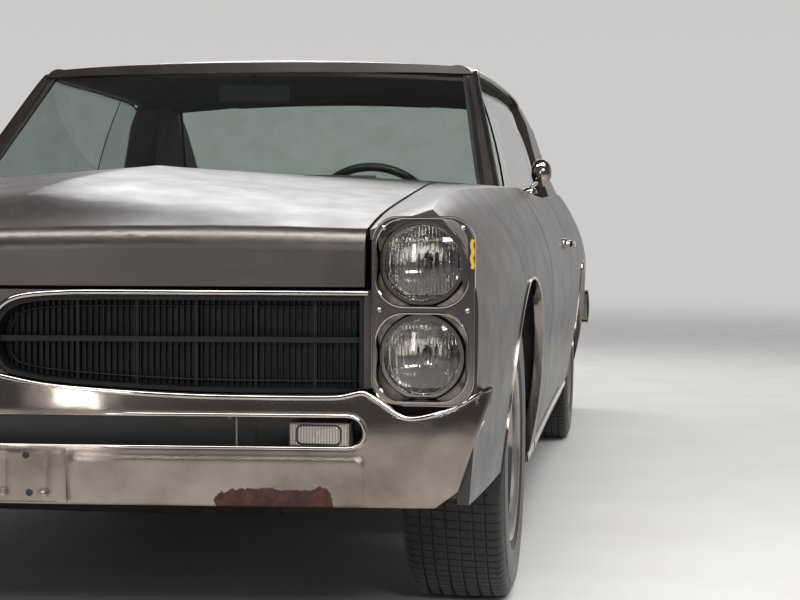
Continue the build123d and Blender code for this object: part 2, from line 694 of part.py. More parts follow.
def rear_sail():
    """Left rear sail: the long buttress from the roof down to the quarter panel."""
    section = [(620, 1350), (690, 1338), (722, 1310), (758, 1237), (802, 1069), (846, 960),
               (700, 940), (670, 1100)]
    body = prism_yz(section, -1480, -540)
    side = [(-560, 1350), (-760, 1338), (-1000, 1222), (-1250, 1085), (-1470, 972), (-1470, 940),
            (-650, 940), (-640, 1000), (-560, 1296)]
    behind = deck_area & box(-1600, TRUNK_FRONT_X + SHUT_GAP, -1, 1000, 300, 1300)
    sweep = cylinder_y(LID_SWEEP_RADIUS, TRUNK_HINGE_X, TRUNK_HINGE_Z, 600, LID_SWEEP_Y)
    sweep &= box(-1460, -1375, 600, LID_SWEEP_Y, 950, 1100)
    return (body & prism_xz(side, 500, 900)) - rear_block - behind - sweep


def rear_deck():
    """Panel between the sails, with the shelf behind the rear seat."""
    half = (rear_shell & deck_area) & box(TRUNK_FRONT_X + SHUT_GAP, SIDE_WALL_REAR_X, 0, 900, 0, 1400)
    shape = half + mirrored(half)
    shape -= back_glass(0.3)
    for side in (-1, 1):
        y0 = TRUNK_ARM_Y - 25 if side > 0 else -TRUNK_ARM_Y + 11
        ear = cylinder_y(13, TRUNK_HINGE_X, TRUNK_HINGE_Z, y0, y0 + 14)
        ear += box(TRUNK_HINGE_X - 13, TRUNK_HINGE_X + 13, y0, y0 + 14, TRUNK_HINGE_Z, 972)
        y_pin = side * (TRUNK_ARM_Y - 20)
        ear += cylinder_y(6, TRUNK_HINGE_X, TRUNK_HINGE_Z, y_pin, side * (TRUNK_ARM_Y + 14))
        shape = shape + ear
    return shape


def trunk_arm():
    """Left goose-neck arm: a hook from the lid, round the deck's edge, to the hinge pin."""
    y0, y1 = TRUNK_ARM_Y - 8, TRUNK_ARM_Y + 8
    x, z = TRUNK_HINGE_X, TRUNK_HINGE_Z
    ring = cylinder_y(TRUNK_ARM_RADIUS + 8, x, z, y0, y1) - cylinder_y(TRUNK_ARM_RADIUS - 8, x, z, y0, y1)
    ring &= box(x - 300, x, y0, y1, z - 300, z + 24)
    leg = box(x - 8, x + 8, y0, y1, z - TRUNK_ARM_RADIUS - 6, z)
    eye = cylinder_y(13, x, z, y0, y1)
    hole = cylinder_y(6 + RUNNING_GAP, x, z, y0 - 1, y1 + 1)
    return ring + leg + eye - hole


def trunk_lid():
    half = (rear_shell & lid_inside) & box(TRUNK_REAR_X, TRUNK_FRONT_X, -5, 900, 0, 1400)
    shape = half + mirrored(half)
    shape += box(TRUNK_REAR_X, TRUNK_REAR_X + 16, -600, 600, 800, 895)
    for arm in (trunk_arm(), mirrored(trunk_arm())):
        shape = shape + arm
    return shape


def tail_panel():
    """Panel across the tail, with the lamp recesses and the trunk's sill."""
    face = make_face(block_wire(REAR_SECTIONS[-1])).face()
    half = Solid.extrude(face, Vector(-TAIL_THICKNESS, 0, 0))
    shape = half + mirrored(half)
    shape -= box(TAIL_X - 40, TAIL_X + 5, -1000, 1000, 0, 400)
    shape -= box(TAIL_X - 40, TAIL_X - 8, -860, 860, TAIL_LAMP_Z - 62, TAIL_LAMP_Z + 62)
    return shape


def tail_lamp():
    """Left tail lamp: two wide windows over one another."""
    upper = box(TAIL_X - 18, TAIL_X - 8.2, 330, 850, TAIL_LAMP_Z + 6, TAIL_LAMP_Z + 52)
    lower = box(TAIL_X - 18, TAIL_X - 8.2, 330, 850, TAIL_LAMP_Z - 52, TAIL_LAMP_Z - 6)
    return Compound([*upper.solids(), *lower.solids()])


# Front bumper face in plan, from the middle round the left corner. Columns: x, y
FRONT_BUMPER_PLAN = [(2624, 0), (2598, 300), (2570, 560), (2553, 720), (2540, 820), (2521, 880),
                     (2490, 911), (2446, 921)]

# Rear bumper face in plan, drawn as if it were at the front. Columns: x, y
REAR_BUMPER_PLAN = [(2624, 0), (2620, 300), (2612, 540), (2601, 720), (2581, 845), (2543, 912),
                    (2487, 931), (2430, 934)]


def bumper_path_bar(plan, middle_z, proud, depth):
    """Left half of a bowed bar that follows a bumper's plan, taller than the bumper itself."""
    (x_before, y_before), (x_end, y_end) = plan[-2:]
    wing = (x_end - x_before, y_end - y_before, 0)
    path = Spline(*[(x, y, 0) for x, y in plan], tangents=((-0.05, 1, 0), wing))
    low, high = middle_z - 158, middle_z + 158
    wires = []
    for index in range(BUMPER_STATIONS):
        share = index / (BUMPER_STATIONS - 1)
        ahead = path.tangent_at(share)
        turn = degrees(atan2(ahead.Y, ahead.X)) - 90
        edge_x, back_x = proud - 16, proud - depth
        bow = ThreePointArc(point(edge_x, 0, high), point(proud, 0, middle_z), point(edge_x, 0, low))
        wire = closed_wire(bow, Line(point(edge_x, 0, low), point(back_x, 0, low)),
                           Line(point(back_x, 0, low), point(back_x, 0, high)),
                           Line(point(back_x, 0, high), point(edge_x, 0, high)))
        wires.append(wire.moved(Location(path.position_at(share), (0, 0, turn))))
    return Solid.make_loft(wires)


def bumper_front_outline(inset_by):
    """Front view of the bumper's left half pushed along X, smaller by an inset."""
    top = moved_in(BUMPER_TOP_EDGE, -inset_by)
    dip = moved_in(BUMPER_DIP_EDGE, -inset_by)
    joint = ((top[-1][0] + dip[0][0]) / 2, (top[-1][1] + dip[0][1]) / 2)
    top[0] = (0, top[0][1])
    top[-1] = joint
    dip[0] = joint
    upper = Spline(*[point(2350, y, z) for y, z in top])
    lower = Spline(*[point(2350, y, z) for y, z in dip])
    wing_y, wing_z = dip[-1]
    rest = Polyline(point(2350, wing_y, wing_z), point(2350, 862 - inset_by, 372 + inset_by),
                    point(2350, 822, 342 + inset_by), point(2350, 0, 342 + inset_by),
                    point(2350, 0, top[0][1]))
    face = make_face([upper, lower, *rest.edges()]).face()
    return Solid.extrude(face, Vector(350, 0, 0))


def front_bumper():
    """Front bumper: a pressed bar with rolled edges, the long slot for the parking lamps, a raised
    panel in its lower half, and its two brackets."""
    body = front_block & box(2300, FENDER_FRONT_X, 700, 1000, 300, 620)
    half = bumper_path_bar(FRONT_BUMPER_PLAN, 462, 0, 62) & bumper_front_outline(0)
    half -= bumper_path_bar(FRONT_BUMPER_PLAN, 462, -BUMPER_WALL, 90) & bumper_front_outline(BUMPER_WALL)
    half -= rounded_x(0, SLOT_Z, 2 * SLOT_HALF, SLOT_HEIGHT, SLOT_HEIGHT / 2 - 1, 2400, 2700)
    raised = rounded_x(430, 388, 530, 86, 14, 2400, 2700)
    raised &= (bumper_path_bar(FRONT_BUMPER_PLAN, 462, 4, 62)
               - bumper_path_bar(FRONT_BUMPER_PLAN, 462, -1, 90))
    half = half + raised
    half = half - body.moved(Location((0.3, 0.3, 0))) - body
    half -= rounded_x(798, 696, 184, 338, BEZEL_CORNER, BEZEL_BACK_X, BEZEL_FRONT_X)
    shape = half + mirrored(half)
    for y in (BRACKET_Y, -BRACKET_Y):
        shape += box(FRAME_FRONT_X, 2585, y - 25, y + 25, 380, 420)
    for y in (PLATE_HOLE_Y, -PLATE_HOLE_Y):
        for z in PLATE_HOLE_HEIGHTS:
            shape -= (Rot(0, 90, 0) * Cylinder(PLATE_HOLE_RADIUS, 120)).moved(Location((2600, y, z)))
    return shape


def parking_lamp():
    return rounded_x(613, 472.4, 111, 44.2, 8, 2505, 2558)


def rear_bumper():
    """Rear bumper: a pressed bar round the tail's corners, with its two brackets."""
    low, top, wall = REAR_BUMPER_LOW_Z, REAR_BUMPER_TOP_Z, BUMPER_WALL
    half = bumper_path_bar(REAR_BUMPER_PLAN, 482, 0, 58) & box(2300, 2700, 0, 950, low, top)
    half -= (bumper_path_bar(REAR_BUMPER_PLAN, 482, -wall, 90)
             & box(2300, 2700, -1, 950, low + wall, top - wall))
    half = half.mirror(Plane.YZ)
    body = rear_block & box(TAIL_X, -2300, 700, 1000, 300, 600)
    half -= box(TAIL_X - TAIL_THICKNESS, -2300, -1, 860, 300, 620)
    half = half - body.moved(Location((0, 0.3, 0))) - body - tail_panel()
    shape = half + mirrored(half)
    for y in (REAR_BRACKET_Y, -REAR_BRACKET_Y):
        shape += box(-2612, TAIL_X - TAIL_THICKNESS, y - 25, y + 25, 430, 480)
    return shape


def rail(points, y0, y1):
    """A frame rail: its side outline pushed across from y0 to y1."""
    return prism_xz(points, y0, y1)


def frame():
    """Perimeter frame: front rails, side rails, kicked-up rear rails and crossmembers."""
    front = [(1040, 250), (1150, 250), (1330, 300), (FRAME_FRONT_X, 330), (FRAME_FRONT_X, 420),
             (1330, 420), (1100, 340), (1040, 340)]
    rear = [(-760, 222), (-900, 240), (-1020, 440), (-1470, 440), (-1640, 400), (FRAME_REAR_X, 400),
            (FRAME_REAR_X, 490), (-1640, 490), (-1470, 520), (-1000, 520), (-800, 300),
            (-760, 240)]
    pieces = [rail(front, 365, 435), rail(rear, 465, 535)]
    pieces.append(box(-820, 1110, 620, 690, 160, FLOOR_Z))
    pieces.append(box(990, 1110, 365, 690, 160, FLOOR_Z))
    pieces.append(box(-820, -740, 465, 690, 160, FLOOR_Z - 5))
    half = pieces[0]
    for piece in pieces[1:]:
        half = half + piece
    half = half + box(1040, 1110, 365, 435, 160, 330) + box(-830, -750, 465, 535, 160, 245)
    half = half + box(FRONT_AXLE_X - 80, FRONT_AXLE_X + 80, 395, 435, 400, 520)
    shape = half + mirrored(half)
    crossmembers = [box(2330, 2400, -365, 365, 340, 410), box(-2470, -2410, -465, 465, 410, 480),
                    box(420, 500, -620, 620, 150, 186), box(-1040, -980, -465, 465, 450, 520),
                    box(FRONT_AXLE_X - 160, FRONT_AXLE_X + 160, -380, 380, 190, 325)]
    for piece in crossmembers:
        shape = shape + piece
    for y0 in (270, -365):
        shape += box(1550, 1620, y0, y0 + 95, 320, 350)
    return shape


def floor_pan():
    """Cabin floor with its tunnel, heel board, rear seat pan and boot floor."""
    top = FLOOR_Z + FLOOR_SHEET
    shape = box(JAMB_X, 1012, -FLOOR_HALF, FLOOR_HALF, FLOOR_Z, top)
    shape += box(-620, JAMB_X, -CABIN_REAR_Y, CABIN_REAR_Y, FLOOR_Z, top)
    tunnel = prism_yz([(-170, 250), (-120, 400), (120, 400), (170, 250)], -620, 1012)
    hollow = prism_yz([(-158, 240), (-110, 390), (110, 390), (158, 240)], -640, 1020)
    heel = box(-630, -620, -CABIN_REAR_Y, CABIN_REAR_Y, FLOOR_Z, SEAT_PAN_Z + FLOOR_SHEET)
    pan = box(-1060, -620, -610, 610, SEAT_PAN_Z, SEAT_PAN_Z + FLOOR_SHEET)
    boot = box(TAIL_X, -1060, -610, 610, SEAT_PAN_Z, SEAT_PAN_Z + FLOOR_SHEET)
    for piece in (tunnel, heel, pan, boot):
        shape = shape + piece
    for side in (1, -1):
        y = side * SEAT_Y
        shape += box(-130, 250, y - 190, y + 190, FLOOR_Z + 5, SEAT_BASE_Z)
    return shape - hollow


def wheelhouse(axle_x, radius, wall_y, core, y_max):
    """Left wheelhouse: an arched shell with an upright inner wall, trimmed to the body side."""
    centre_z = TYRE_RADIUS + ARCH_LIFT
    tunnel = cylinder_y(radius + 10, axle_x, centre_z, wall_y, y_max)
    tunnel -= cylinder_y(radius, axle_x, centre_z, wall_y + 10, y_max + 5)
    tunnel -= box(axle_x - 600, axle_x + 600, wall_y - 5, y_max + 5, 0, centre_z + 60)
    return tunnel & core


def inner_fender():
    """Left inner fender: wheelhouse and the engine bay's side wall."""
    house = wheelhouse(FRONT_AXLE_X, FRONT_ARCH_RADIUS + 26, 480, front_core, 960)
    wall = box(PILLAR_X, 2440, 480, 490, 520, 830)
    opening = box(FRONT_AXLE_X - 110, FRONT_AXLE_X + 110, 470, 500, 380, 530)
    return (house + wall - opening) & box(0, 3000, 0, 1000, 0, 2000)


def arch_moulding(radius, axle_x, rows):
    """Bright moulding on the edge of a wheel opening."""
    centre_z = TYRE_RADIUS + ARCH_LIFT
    near = [row for row in rows if abs(row[0] - axle_x) < 2.6 * SECTION_STEP]
    band = Solid.make_loft([shell_wire(grow(row, MOULDING_PROUD)) for row in near])
    ring = cylinder_y(radius, axle_x, centre_z, 700, 1100)
    ring -= cylinder_y(radius - 7, axle_x, centre_z, 700, 1100)
    ring -= box(axle_x - 600, axle_x + 600, 600, 1200, 0, centre_z - 60)
    return band & ring


def place_wheel(shape, axle_x, side):
    """Moves a wheel piece, made with its outer face towards +Y, to its place."""
    if side < 0:
        shape = mirrored(shape)
    return shape.moved(Location((axle_x, side * TRACK / 2, TYRE_RADIUS)))


def revolve_y(points):
    """Ring or disc about the wheel's axis from points given as (radius, y)."""
    face = make_face(Polyline(*[point(r, y, 0) for r, y in points], close=True))
    return Solid.revolve(face.face(), 360, Axis.Y)


def tyre():
    """Tyre carcass: bead to bead with bulged sidewalls, square shoulders and a low crown."""
    bead, flange = BEAD_RADIUS, RIM_LIP_RADIUS + 3
    shoulder = TYRE_RADIUS - SHOULDER_DROP
    tread = TREAD_WIDTH / 2
    bulge = TYRE_WIDTH / 2
    edges = [ThreePointArc(point(TYRE_RADIUS - 3, -tread, 0), point(TYRE_RADIUS, 0, 0),
                           point(TYRE_RADIUS - 3, tread, 0)),
             ThreePointArc(point(shoulder - 8, 82, 0), point(TYRE_RADIUS - 14, 0, 0),
                           point(shoulder - 8, -82, 0))]
    for side in (1, -1):
        edges.append(Line(point(TYRE_RADIUS - 3, side * tread, 0), point(shoulder, side * (tread + 12), 0)))
        edges.append(ThreePointArc(point(shoulder, side * (tread + 12), 0), point(264, side * bulge, 0),
                                   point(flange, side * 97, 0)))
        edges.append(Line(point(flange, side * 97, 0), point(bead, side * 91, 0)))
        edges.append(Line(point(bead, side * 91, 0), point(bead, side * 76, 0)))
        edges.append(ThreePointArc(point(bead, side * 76, 0), point(262, side * 103, 0),
                                   point(shoulder - 8, side * 82, 0)))
    face = make_face(Wire.combine(edges)[0])
    return Solid.revolve(face.face(), 360, Axis.Y)


def rim():
    """Steel wheel: drop-centre barrel, dished disc with windows, hub, cap and brake drum."""
    seat = BEAD_RADIUS - 0.3
    wall = RIM_WALL
    lip = RIM_LIP_RADIUS
    barrel = revolve_y([(lip, 102), (lip, 96), (seat, 92), (seat, 74), (170, 60), (170, -52),
                        (seat, -74), (seat, -92), (lip, -96), (lip, -102), (lip - wall, -102),
                        (seat - wall, -95), (seat - wall, -77), (170 - wall, -58), (170 - wall, 64),
                        (seat - wall, 79), (seat - wall, 95), (lip - wall, 102)])
    disc = revolve_y([(18, 24), (18, 34), (80, 34), (125, 50), (166, 44), (166, 36), (125, 41),
                      (80, 24)])
    for index in range(SPOKES):
        window = rounded_y(0, 134, 62, 34, 12, 0, 80)
        disc -= window.rotate(Axis.Y, index * 360 / SPOKES)
    hub = revolve_y([(0, 26), (0, 58), (30, 58), (44, 48), (46, 30), (46, -60),
                     (SPINDLE_RADIUS + RUNNING_GAP, -60), (SPINDLE_RADIUS + RUNNING_GAP, 26)])
    drum = revolve_y([(30, 10), (30, 20), (DRUM_RADIUS, 20), (DRUM_RADIUS, 20 - DRUM_DEPTH - 24),
                      (DRUM_RADIUS - 8, 20 - DRUM_DEPTH - 24), (DRUM_RADIUS - 8, 10)])
    shape = barrel + disc + hub + drum
    return shape


def stub(y_inner):
    """Backing plate and spindle, reaching from an inner y to the hub."""
    plate = cylinder_y(DRUM_RADIUS, 0, 0, -77, -71.5)
    spindle = cylinder_y(SPINDLE_RADIUS, 0, 0, y_inner, 24)
    shoulder = cylinder_y(32, 0, 0, y_inner, -66)
    return plate + spindle + shoulder


def knuckle():
    """Left steering knuckle: upright, ball joint seats, steering arm, plate and spindle."""
    x, y = FRONT_AXLE_X, KINGPIN_Y
    shape = box(x - 28, x + 28, y - 18, y + 18, 232, 468)
    shape += box(x - 145, x, y - 14, y + 10, 262, 282)
    shape += place_wheel(stub(y - TRACK / 2), FRONT_AXLE_X, 1)
    for z in (232, 468):
        shape -= Pos(x, y, z) * Cylinder(9 + RUNNING_GAP, 60)
    return shape


def suspension_arms():
    """Left pair of control arms, with ball joint pins up into and down into the knuckle."""
    x, y = FRONT_AXLE_X, KINGPIN_Y
    lower = prism_xy([(x - 30, y + 22), (x + 30, y + 22), (x + 150, 380), (x + 90, 380),
                      (x, y - 80), (x - 90, 380), (x - 150, 380)], 202, 226)
    upper = prism_xy([(x - 26, y + 18), (x + 26, y + 18), (x + 72, 435), (x + 30, 435),
                      (x, y - 70), (x - 30, 435), (x - 72, 435)], 474, 494)
    lower += Pos(x, y, 238) * Cylinder(9, 36)
    upper += Pos(x, y, 462) * Cylinder(9, 36)
    return Compound([*lower.solids(), *upper.solids()])


def rear_axle():
    """Rear axle tube, differential, backing plates, trailing arms and springs."""
    x, z = REAR_AXLE_X, TYRE_RADIUS
    reach = TRACK / 2 - 85
    shape = cylinder_y(40, x, z, -reach, reach)
    ball = Pos(x, 0, z) * Sphere(132)
    shape = shape + ball + Pos(x + 110, 0, z) * (Rot(0, 90, 0) * Cylinder(52, 130))
    for side in (1, -1):
        shape += place_wheel(stub(-90), x, side)
        arm_y = side * 500
        arm = box(x - 40, FRAME_ARM_X, arm_y - 22, arm_y + 22, 246, 284)
        arm += box(x - 40, x + 40, arm_y - 30, arm_y + 30, 246, z)
        spring = Pos(x, arm_y, (z + 440) / 2) * Cylinder(48, 440 - z)
        shape = shape + arm + spring
    return shape


def gearbox():
    """Gearbox and drive shaft down the tunnel."""
    case = prism_yz([(-90, 285), (-105, 330), (-70, 380), (70, 380), (105, 330), (90, 285),
                     (60, 268), (-60, 268)], 700, 1250)
    shaft = Pos((700 + REAR_AXLE_X + 176) / 2, 0, TYRE_RADIUS)
    shaft = shaft * (Rot(0, 90, 0) * Cylinder(36, 700 - REAR_AXLE_X - 176))
    return case + shaft


def engine_block():
    return box(1250, 1960, -270, 270, 330, 790)


def radiator():
    """Core support with the radiator in its window."""
    support = box(2200, 2220, -480, 480, 420, 800)
    core = box(2185, 2245, -335, 335, 440, 770)
    return support + core


def fuel_tank():
    return rounded_z(-2040, 0, 620, 820, 60, SEAT_PAN_Z - 210, SEAT_PAN_Z)


def exhaust():
    """Left exhaust: manifold, down pipe, muffler and tail pipe."""
    y, z = 318, 215
    manifold = box(1290, 1900, 270, 330, 430, 480)
    down = Pos(1320, y, (z + 450) / 2) * Cylinder(24, 450 - z)
    pipe = Pos((1320 - 2520) / 2, y, z) * (Rot(0, 90, 0) * Cylinder(24, 1320 + 2520))
    muffler = rounded_x(y, z - 6, 130, 58, 25, -700, -200)
    return manifold + down + pipe + muffler


def side_glass(outline, under):
    """Left side pane: one curved band, cut to its outline and to the panel below."""
    rows = []
    for x, foot_y, top_y in GLASS_SECTIONS:
        middle_y = (foot_y + top_y) / 2 + 18
        middle_z = (GLASS_FOOT_Z + GLASS_TOP_Z) / 2
        edges = []
        for step in (0, -GLASS):
            edges.append(ThreePointArc(point(x, foot_y + step, GLASS_FOOT_Z),
                                       point(x, middle_y + step, middle_z),
                                       point(x, top_y + step, GLASS_TOP_Z)))
        edges.append(Line(point(x, foot_y, GLASS_FOOT_Z), point(x, foot_y - GLASS, GLASS_FOOT_Z)))
        edges.append(Line(point(x, top_y, GLASS_TOP_Z), point(x, top_y - GLASS, GLASS_TOP_Z)))
        rows.append(Wire.combine(edges)[0])
    band = Solid.make_loft(rows)
    return (band & prism_xz(outline, 500, 1000)) - under


def door_glass():
    outline = [(824, 900), (824, 957), (456, GLASS_TOP_Z), (-286, GLASS_TOP_Z), (-286, 900)]
    return side_glass(outline, door_block)


def quarter_glass():
    outline = [(-295, 900), (-295, GLASS_TOP_Z), (-540, GLASS_TOP_Z - 6), (-562, 1250), (-636, 1000),
               (-640, 900)]
    return side_glass(outline, rear_block)


def dashboard():
    profile = [(1012, 935), (800, 928), (730, 905), (712, 860), (730, 780), (760, 750), (1012, 740)]
    return prism_xz(profile, -755, 755)


def steering_wheel():
    """Steering wheel with three spokes, on its column."""
    tilt = Location((470, STEERING_Y, 860), (0, 118, 0))
    rim_ring = Solid.make_torus(195, 13)
    hub = Cylinder(45, 34)
    shape = hub
    for angle in (90, 210, 330):
        spoke = Pos(97, 0, 0) * Box(195, 26, 8)
        shape += spoke.rotate(Axis.Z, angle)
    shape = shape + rim_ring
    column = Pos(0, 0, 330) * Cylinder(26, 660)
    return (shape + column).moved(tilt) & box(0, 1012, 0, 800, 0, 1200)


def front_seat():
    """Left front seat: cushion and back as two plain solids."""
    cushion = rounded_z(60, SEAT_Y, 500, 480, 60, SEAT_BASE_Z + SEAT_GAP, 470)
    back = rounded_y(0, 0, 120, 520, 50, SEAT_Y - 240, SEAT_Y + 240).rotate(Axis.Y, -14)
    back = back.moved(Location((-284, 0, 700)))
    return Compound([*cushion.solids(), *back.solids()])


def rear_seat():
    pan = SEAT_PAN_Z + FLOOR_SHEET + SEAT_GAP
    cushion = rounded_z(-790, 0, 440, 1160, 60, pan, pan + 80)
    back = box(-1040, -915, -580, 580, pan + 80 + SEAT_GAP, 930)
    return Compound([*cushion.solids(), *back.solids()])


def rear_view_mirror():
    glass = box(520, 534, -110, 110, 1235, 1285)
    stem = Pos(527, 0, 1305) * Cylinder(6, 60)
    return glass + stem - roof()


def door_mirror():
    """Round mirror on the left door's upper edge."""
    base = Pos(700, 862, 965) * Cylinder(22, 26)
    head = (Rot(0, 90, 0) * Cylinder(52, 34)).moved(Location((700, 893, 1010)))
    stem = Pos(700, 872, 985) * Cylinder(9, 50)
    return base + stem + head - door_block


def wiper(y):
    """Wiper with its pivot at y: post, short arm and blade along the foot of the windshield."""
    radius = 1471.6
    centre_x = 1073 - radius
    blade = Pos(centre_x, 0, 989) * Cylinder(radius + 12, 8)
    blade -= Pos(centre_x, 0, 989) * Cylinder(radius + 6, 8)
    blade &= box(900, 1200, y - 240, y + 200, 900, 1100)
    post = Pos(1092, y, 973) * Cylinder(5, 36)
    arm = box(1040, 1096, y - 5, y + 5, 984, 990)
    return blade + post + arm - windshield(1)


def pair(shape):
    """The solids of a left-hand piece with their mirror images."""
    return Compound([*shape.solids(), *mirrored(shape).solids()])


def main_solid(shape):
    """The largest solid of a shape, without the slivers that a cut can leave."""
    return max(shape.solids(), key=lambda solid: solid.volume)


rear_house = wheelhouse(REAR_AXLE_X, REAR_HOUSE_RADIUS, 620, rear_core, 960)
pieces = {
    "frame": frame(),
    "floor_pan": floor_pan(),
    "firewall": firewall(),
    "front_fenders": pair(main_solid(front_fender())),
    "quarter_panels": pair(main_solid(quarter_panel())),
    "wheelhouses": Compound([*pair(inner_fender()).solids(), *pair(rear_house).solids()]),
    "roof": roof(),
    "rear_deck": rear_deck(),
    "tail_panel": tail_panel(),
    "nose_panel": nose_panel(),
    "grilles": pair(grille() - bumper_room(BUMPER_CLEARANCE, 2400, 2700)),
    "headlamp_bezels": pair(headlamp_bezel()),
    "headlamps": pair(Compound([headlamp(z) for z in LAMP_HEIGHTS])),
    "headlamp_rings": pair(Compound([headlamp_ring(z) for z in LAMP_HEIGHTS])),
    "front_bumper": front_bumper(),
    "parking_lamps": pair(parking_lamp()),
    "rear_bumper": rear_bumper(),
    "tail_lamps": pair(tail_lamp()),
    "windshield": windshield(),
    "back_glass": back_glass(),
    "quarter_glass": pair(quarter_glass()),
    "dashboard": dashboard(),
    "steering_wheel": steering_wheel(),
    "front_seats": pair(front_seat()),
    "rear_seat": rear_seat(),
    "rear_view_mirror": rear_view_mirror(),
    "engine_block": engine_block(),
    "gearbox": gearbox(),
    "radiator": radiator(),
    "fuel_tank": fuel_tank(),
    "exhaust": pair(exhaust()),
    "front_suspension": pair(suspension_arms()),
    "rear_axle": rear_axle(),
    "arch_mouldings": Compound([
        *pair(arch_moulding(FRONT_ARCH_RADIUS, FRONT_AXLE_X, front_rows)).solids(),
        *pair(arch_moulding(REAR_ARCH_RADIUS, REAR_AXLE_X, rear_rows)).solids()]),
    "wipers": Compound([solid for y in (260, -240) for solid in wiper(y).solids()]),
    "hood": hood(),
    "trunk_lid": trunk_lid(),
    "door_left": door(),
    "door_right": mirrored(door()),
    "door_glass_left": door_glass(),
    "door_glass_right": mirrored(door_glass()),
    "door_mirror_left": door_mirror(),
    "knuckle_left": knuckle(),
    "knuckle_right": mirrored(knuckle()),
}

WHEEL_PLACES = {
    "front_left": (FRONT_AXLE_X, 1),
    "front_right": (FRONT_AXLE_X, -1),
    "rear_left": (REAR_AXLE_X, 1),
    "rear_right": (REAR_AXLE_X, -1),
}
for place, (axle_x, side) in WHEEL_PLACES.items():
    pieces[f"rim_{place}"] = place_wheel(rim(), axle_x, side)
    pieces[f"tyre_{place}"] = place_wheel(tyre(), axle_x, side)

os.makedirs("parts", exist_ok=True)
for name, shape in pieces.items():
    export_step(shape, f"parts/{name}.step")
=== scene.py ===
"""Two-door hardtop coupe in worn silver-grey lacquer: its finishes, trim and seats."""
import math

import bmesh
import bpy
from mathutils import Matrix, Vector
from mathutils.bvhtree import BVHTree


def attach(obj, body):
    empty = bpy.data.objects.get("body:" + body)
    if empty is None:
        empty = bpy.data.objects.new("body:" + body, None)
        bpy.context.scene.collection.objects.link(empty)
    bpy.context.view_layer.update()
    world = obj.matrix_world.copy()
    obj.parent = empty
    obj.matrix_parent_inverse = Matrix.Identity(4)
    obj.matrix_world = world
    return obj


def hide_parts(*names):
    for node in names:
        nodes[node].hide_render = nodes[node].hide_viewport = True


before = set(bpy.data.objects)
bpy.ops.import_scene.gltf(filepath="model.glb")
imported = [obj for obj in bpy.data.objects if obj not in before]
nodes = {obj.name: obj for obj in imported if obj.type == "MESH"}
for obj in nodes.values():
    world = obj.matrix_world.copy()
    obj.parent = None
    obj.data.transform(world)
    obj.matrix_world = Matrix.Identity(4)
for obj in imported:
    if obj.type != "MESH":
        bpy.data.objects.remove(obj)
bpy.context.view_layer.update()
MM = 0.001


# Colour and shader helpers

def linear(code):
    """An sRGB hex colour as the linear values that a shader takes."""
    values = [int(code[i:i + 2], 16) / 255 for i in (1, 3, 5)]
    return [v / 12.92 if v <= 0.04045 else ((v + 0.055) / 1.055) ** 2.4 for v in values] + [1.0]


def per_metre(size_mm):
    """How many repeats of a pattern fit in a metre, from the size of one in millimetres."""
    return 1 / (size_mm * MM)


def add(tree, kind, feeds=None, out=0, **settings):
    """Adds one node with its settings, gives each named socket a value or another node's output,
    and returns one of its own outputs."""
    node = tree.nodes.new(kind)
    for name, value in settings.items():
        setattr(node, name, value)
    for name, source in (feeds or {}).items():
        if isinstance(source, bpy.types.NodeSocket):
            tree.links.new(source, node.inputs[name])
        else:
            node.inputs[name].default_value = source
    return node.outputs[out]


def finish(name, **base):
    """A material with one surface shader, and the place that its patterns start from."""
    material = bpy.data.materials.new(name)
    material.use_nodes = True
    tree = material.node_tree
    surface = tree.nodes["Principled BSDF"]
    for socket, value in base.items():
        surface.inputs[socket.replace("_", " ")].default_value = value
    return material, tree, surface, add(tree, "ShaderNodeTexCoord", out="Object")


def feed(tree, surface, **sources):
    """Links outputs to the surface's sockets, written with underscores for their spaces."""
    for socket, source in sources.items():
        tree.links.new(source, surface.inputs[socket.replace("_", " ")])


def cloud(tree, place, size_mm, detail=4.0, low=0.35, high=0.65):
    """Soft patches between 0 and 1, each about size_mm across."""
    noise = add(tree, "ShaderNodeTexNoise", {"Scale": per_metre(size_mm), "Detail": detail,
                                             "Roughness": 0.55, "Vector": place}, "Fac")
    return add(tree, "ShaderNodeMapRange", {"Value": noise, "From Min": low, "From Max": high})


def layer(tree, under, film, over, cover=None):
    """Lays one colour over another as far as the film reaches, up to a cover if one is given."""
    if cover:
        film = add(tree, "ShaderNodeMapRange", {"Value": film, "To Min": 0.0, "To Max": cover})
    below, above = [linear(tone) if isinstance(tone, str) else tone for tone in (under, over)]
    return add(tree, "ShaderNodeMix", {0: film, 6: below, 7: above}, 2, data_type="RGBA")


def weathered(tree, surface, film, clean, dirty, rough=None):
    """Colours the surface from clean to dirty as the film thickens, and roughens it likewise."""
    feed(tree, surface, Base_Color=layer(tree, clean, film, dirty))
    if rough:
        feed(tree, surface, Roughness=add(tree, "ShaderNodeMapRange",
                                          {"Value": film, "To Min": rough[0], "To Max": rough[1]}))


def relief(tree, surface, height, depth_mm, strength):
    """Gives the surface a fine relief of that depth."""
    feed(tree, surface, Normal=add(tree, "ShaderNodeBump", {"Strength": strength, "Height": height,
                                                            "Distance": depth_mm * MM}, "Normal"))


def grained(tree, surface, place, size_mm, depth_mm, strength, detail=None, feature="F1",
            scatter=1.0):
    """A fine grain all over: soft where a detail is given, or else in separate cells."""
    if detail is None:
        height = add(tree, "ShaderNodeTexVoronoi", {"Scale": per_metre(size_mm), "Vector": place,
                                                    "Randomness": scatter}, "Distance",
                     feature=feature)
    else:
        height = add(tree, "ShaderNodeTexNoise", {"Scale": per_metre(size_mm), "Detail": detail,
                                                  "Vector": place}, "Fac")
    relief(tree, surface, height, depth_mm, strength)


def plain_finish(name, film, clean, dirty, rough=None, grain=None, **base):
    """A material that is the same all over: a film of dirt or wear on it, and perhaps a grain."""
    material, tree, surface, place = finish(name, **base)
    weathered(tree, surface, cloud(tree, place, *film), clean, dirty, rough)
    if grain:
        grained(tree, surface, place, **grain)
    return material


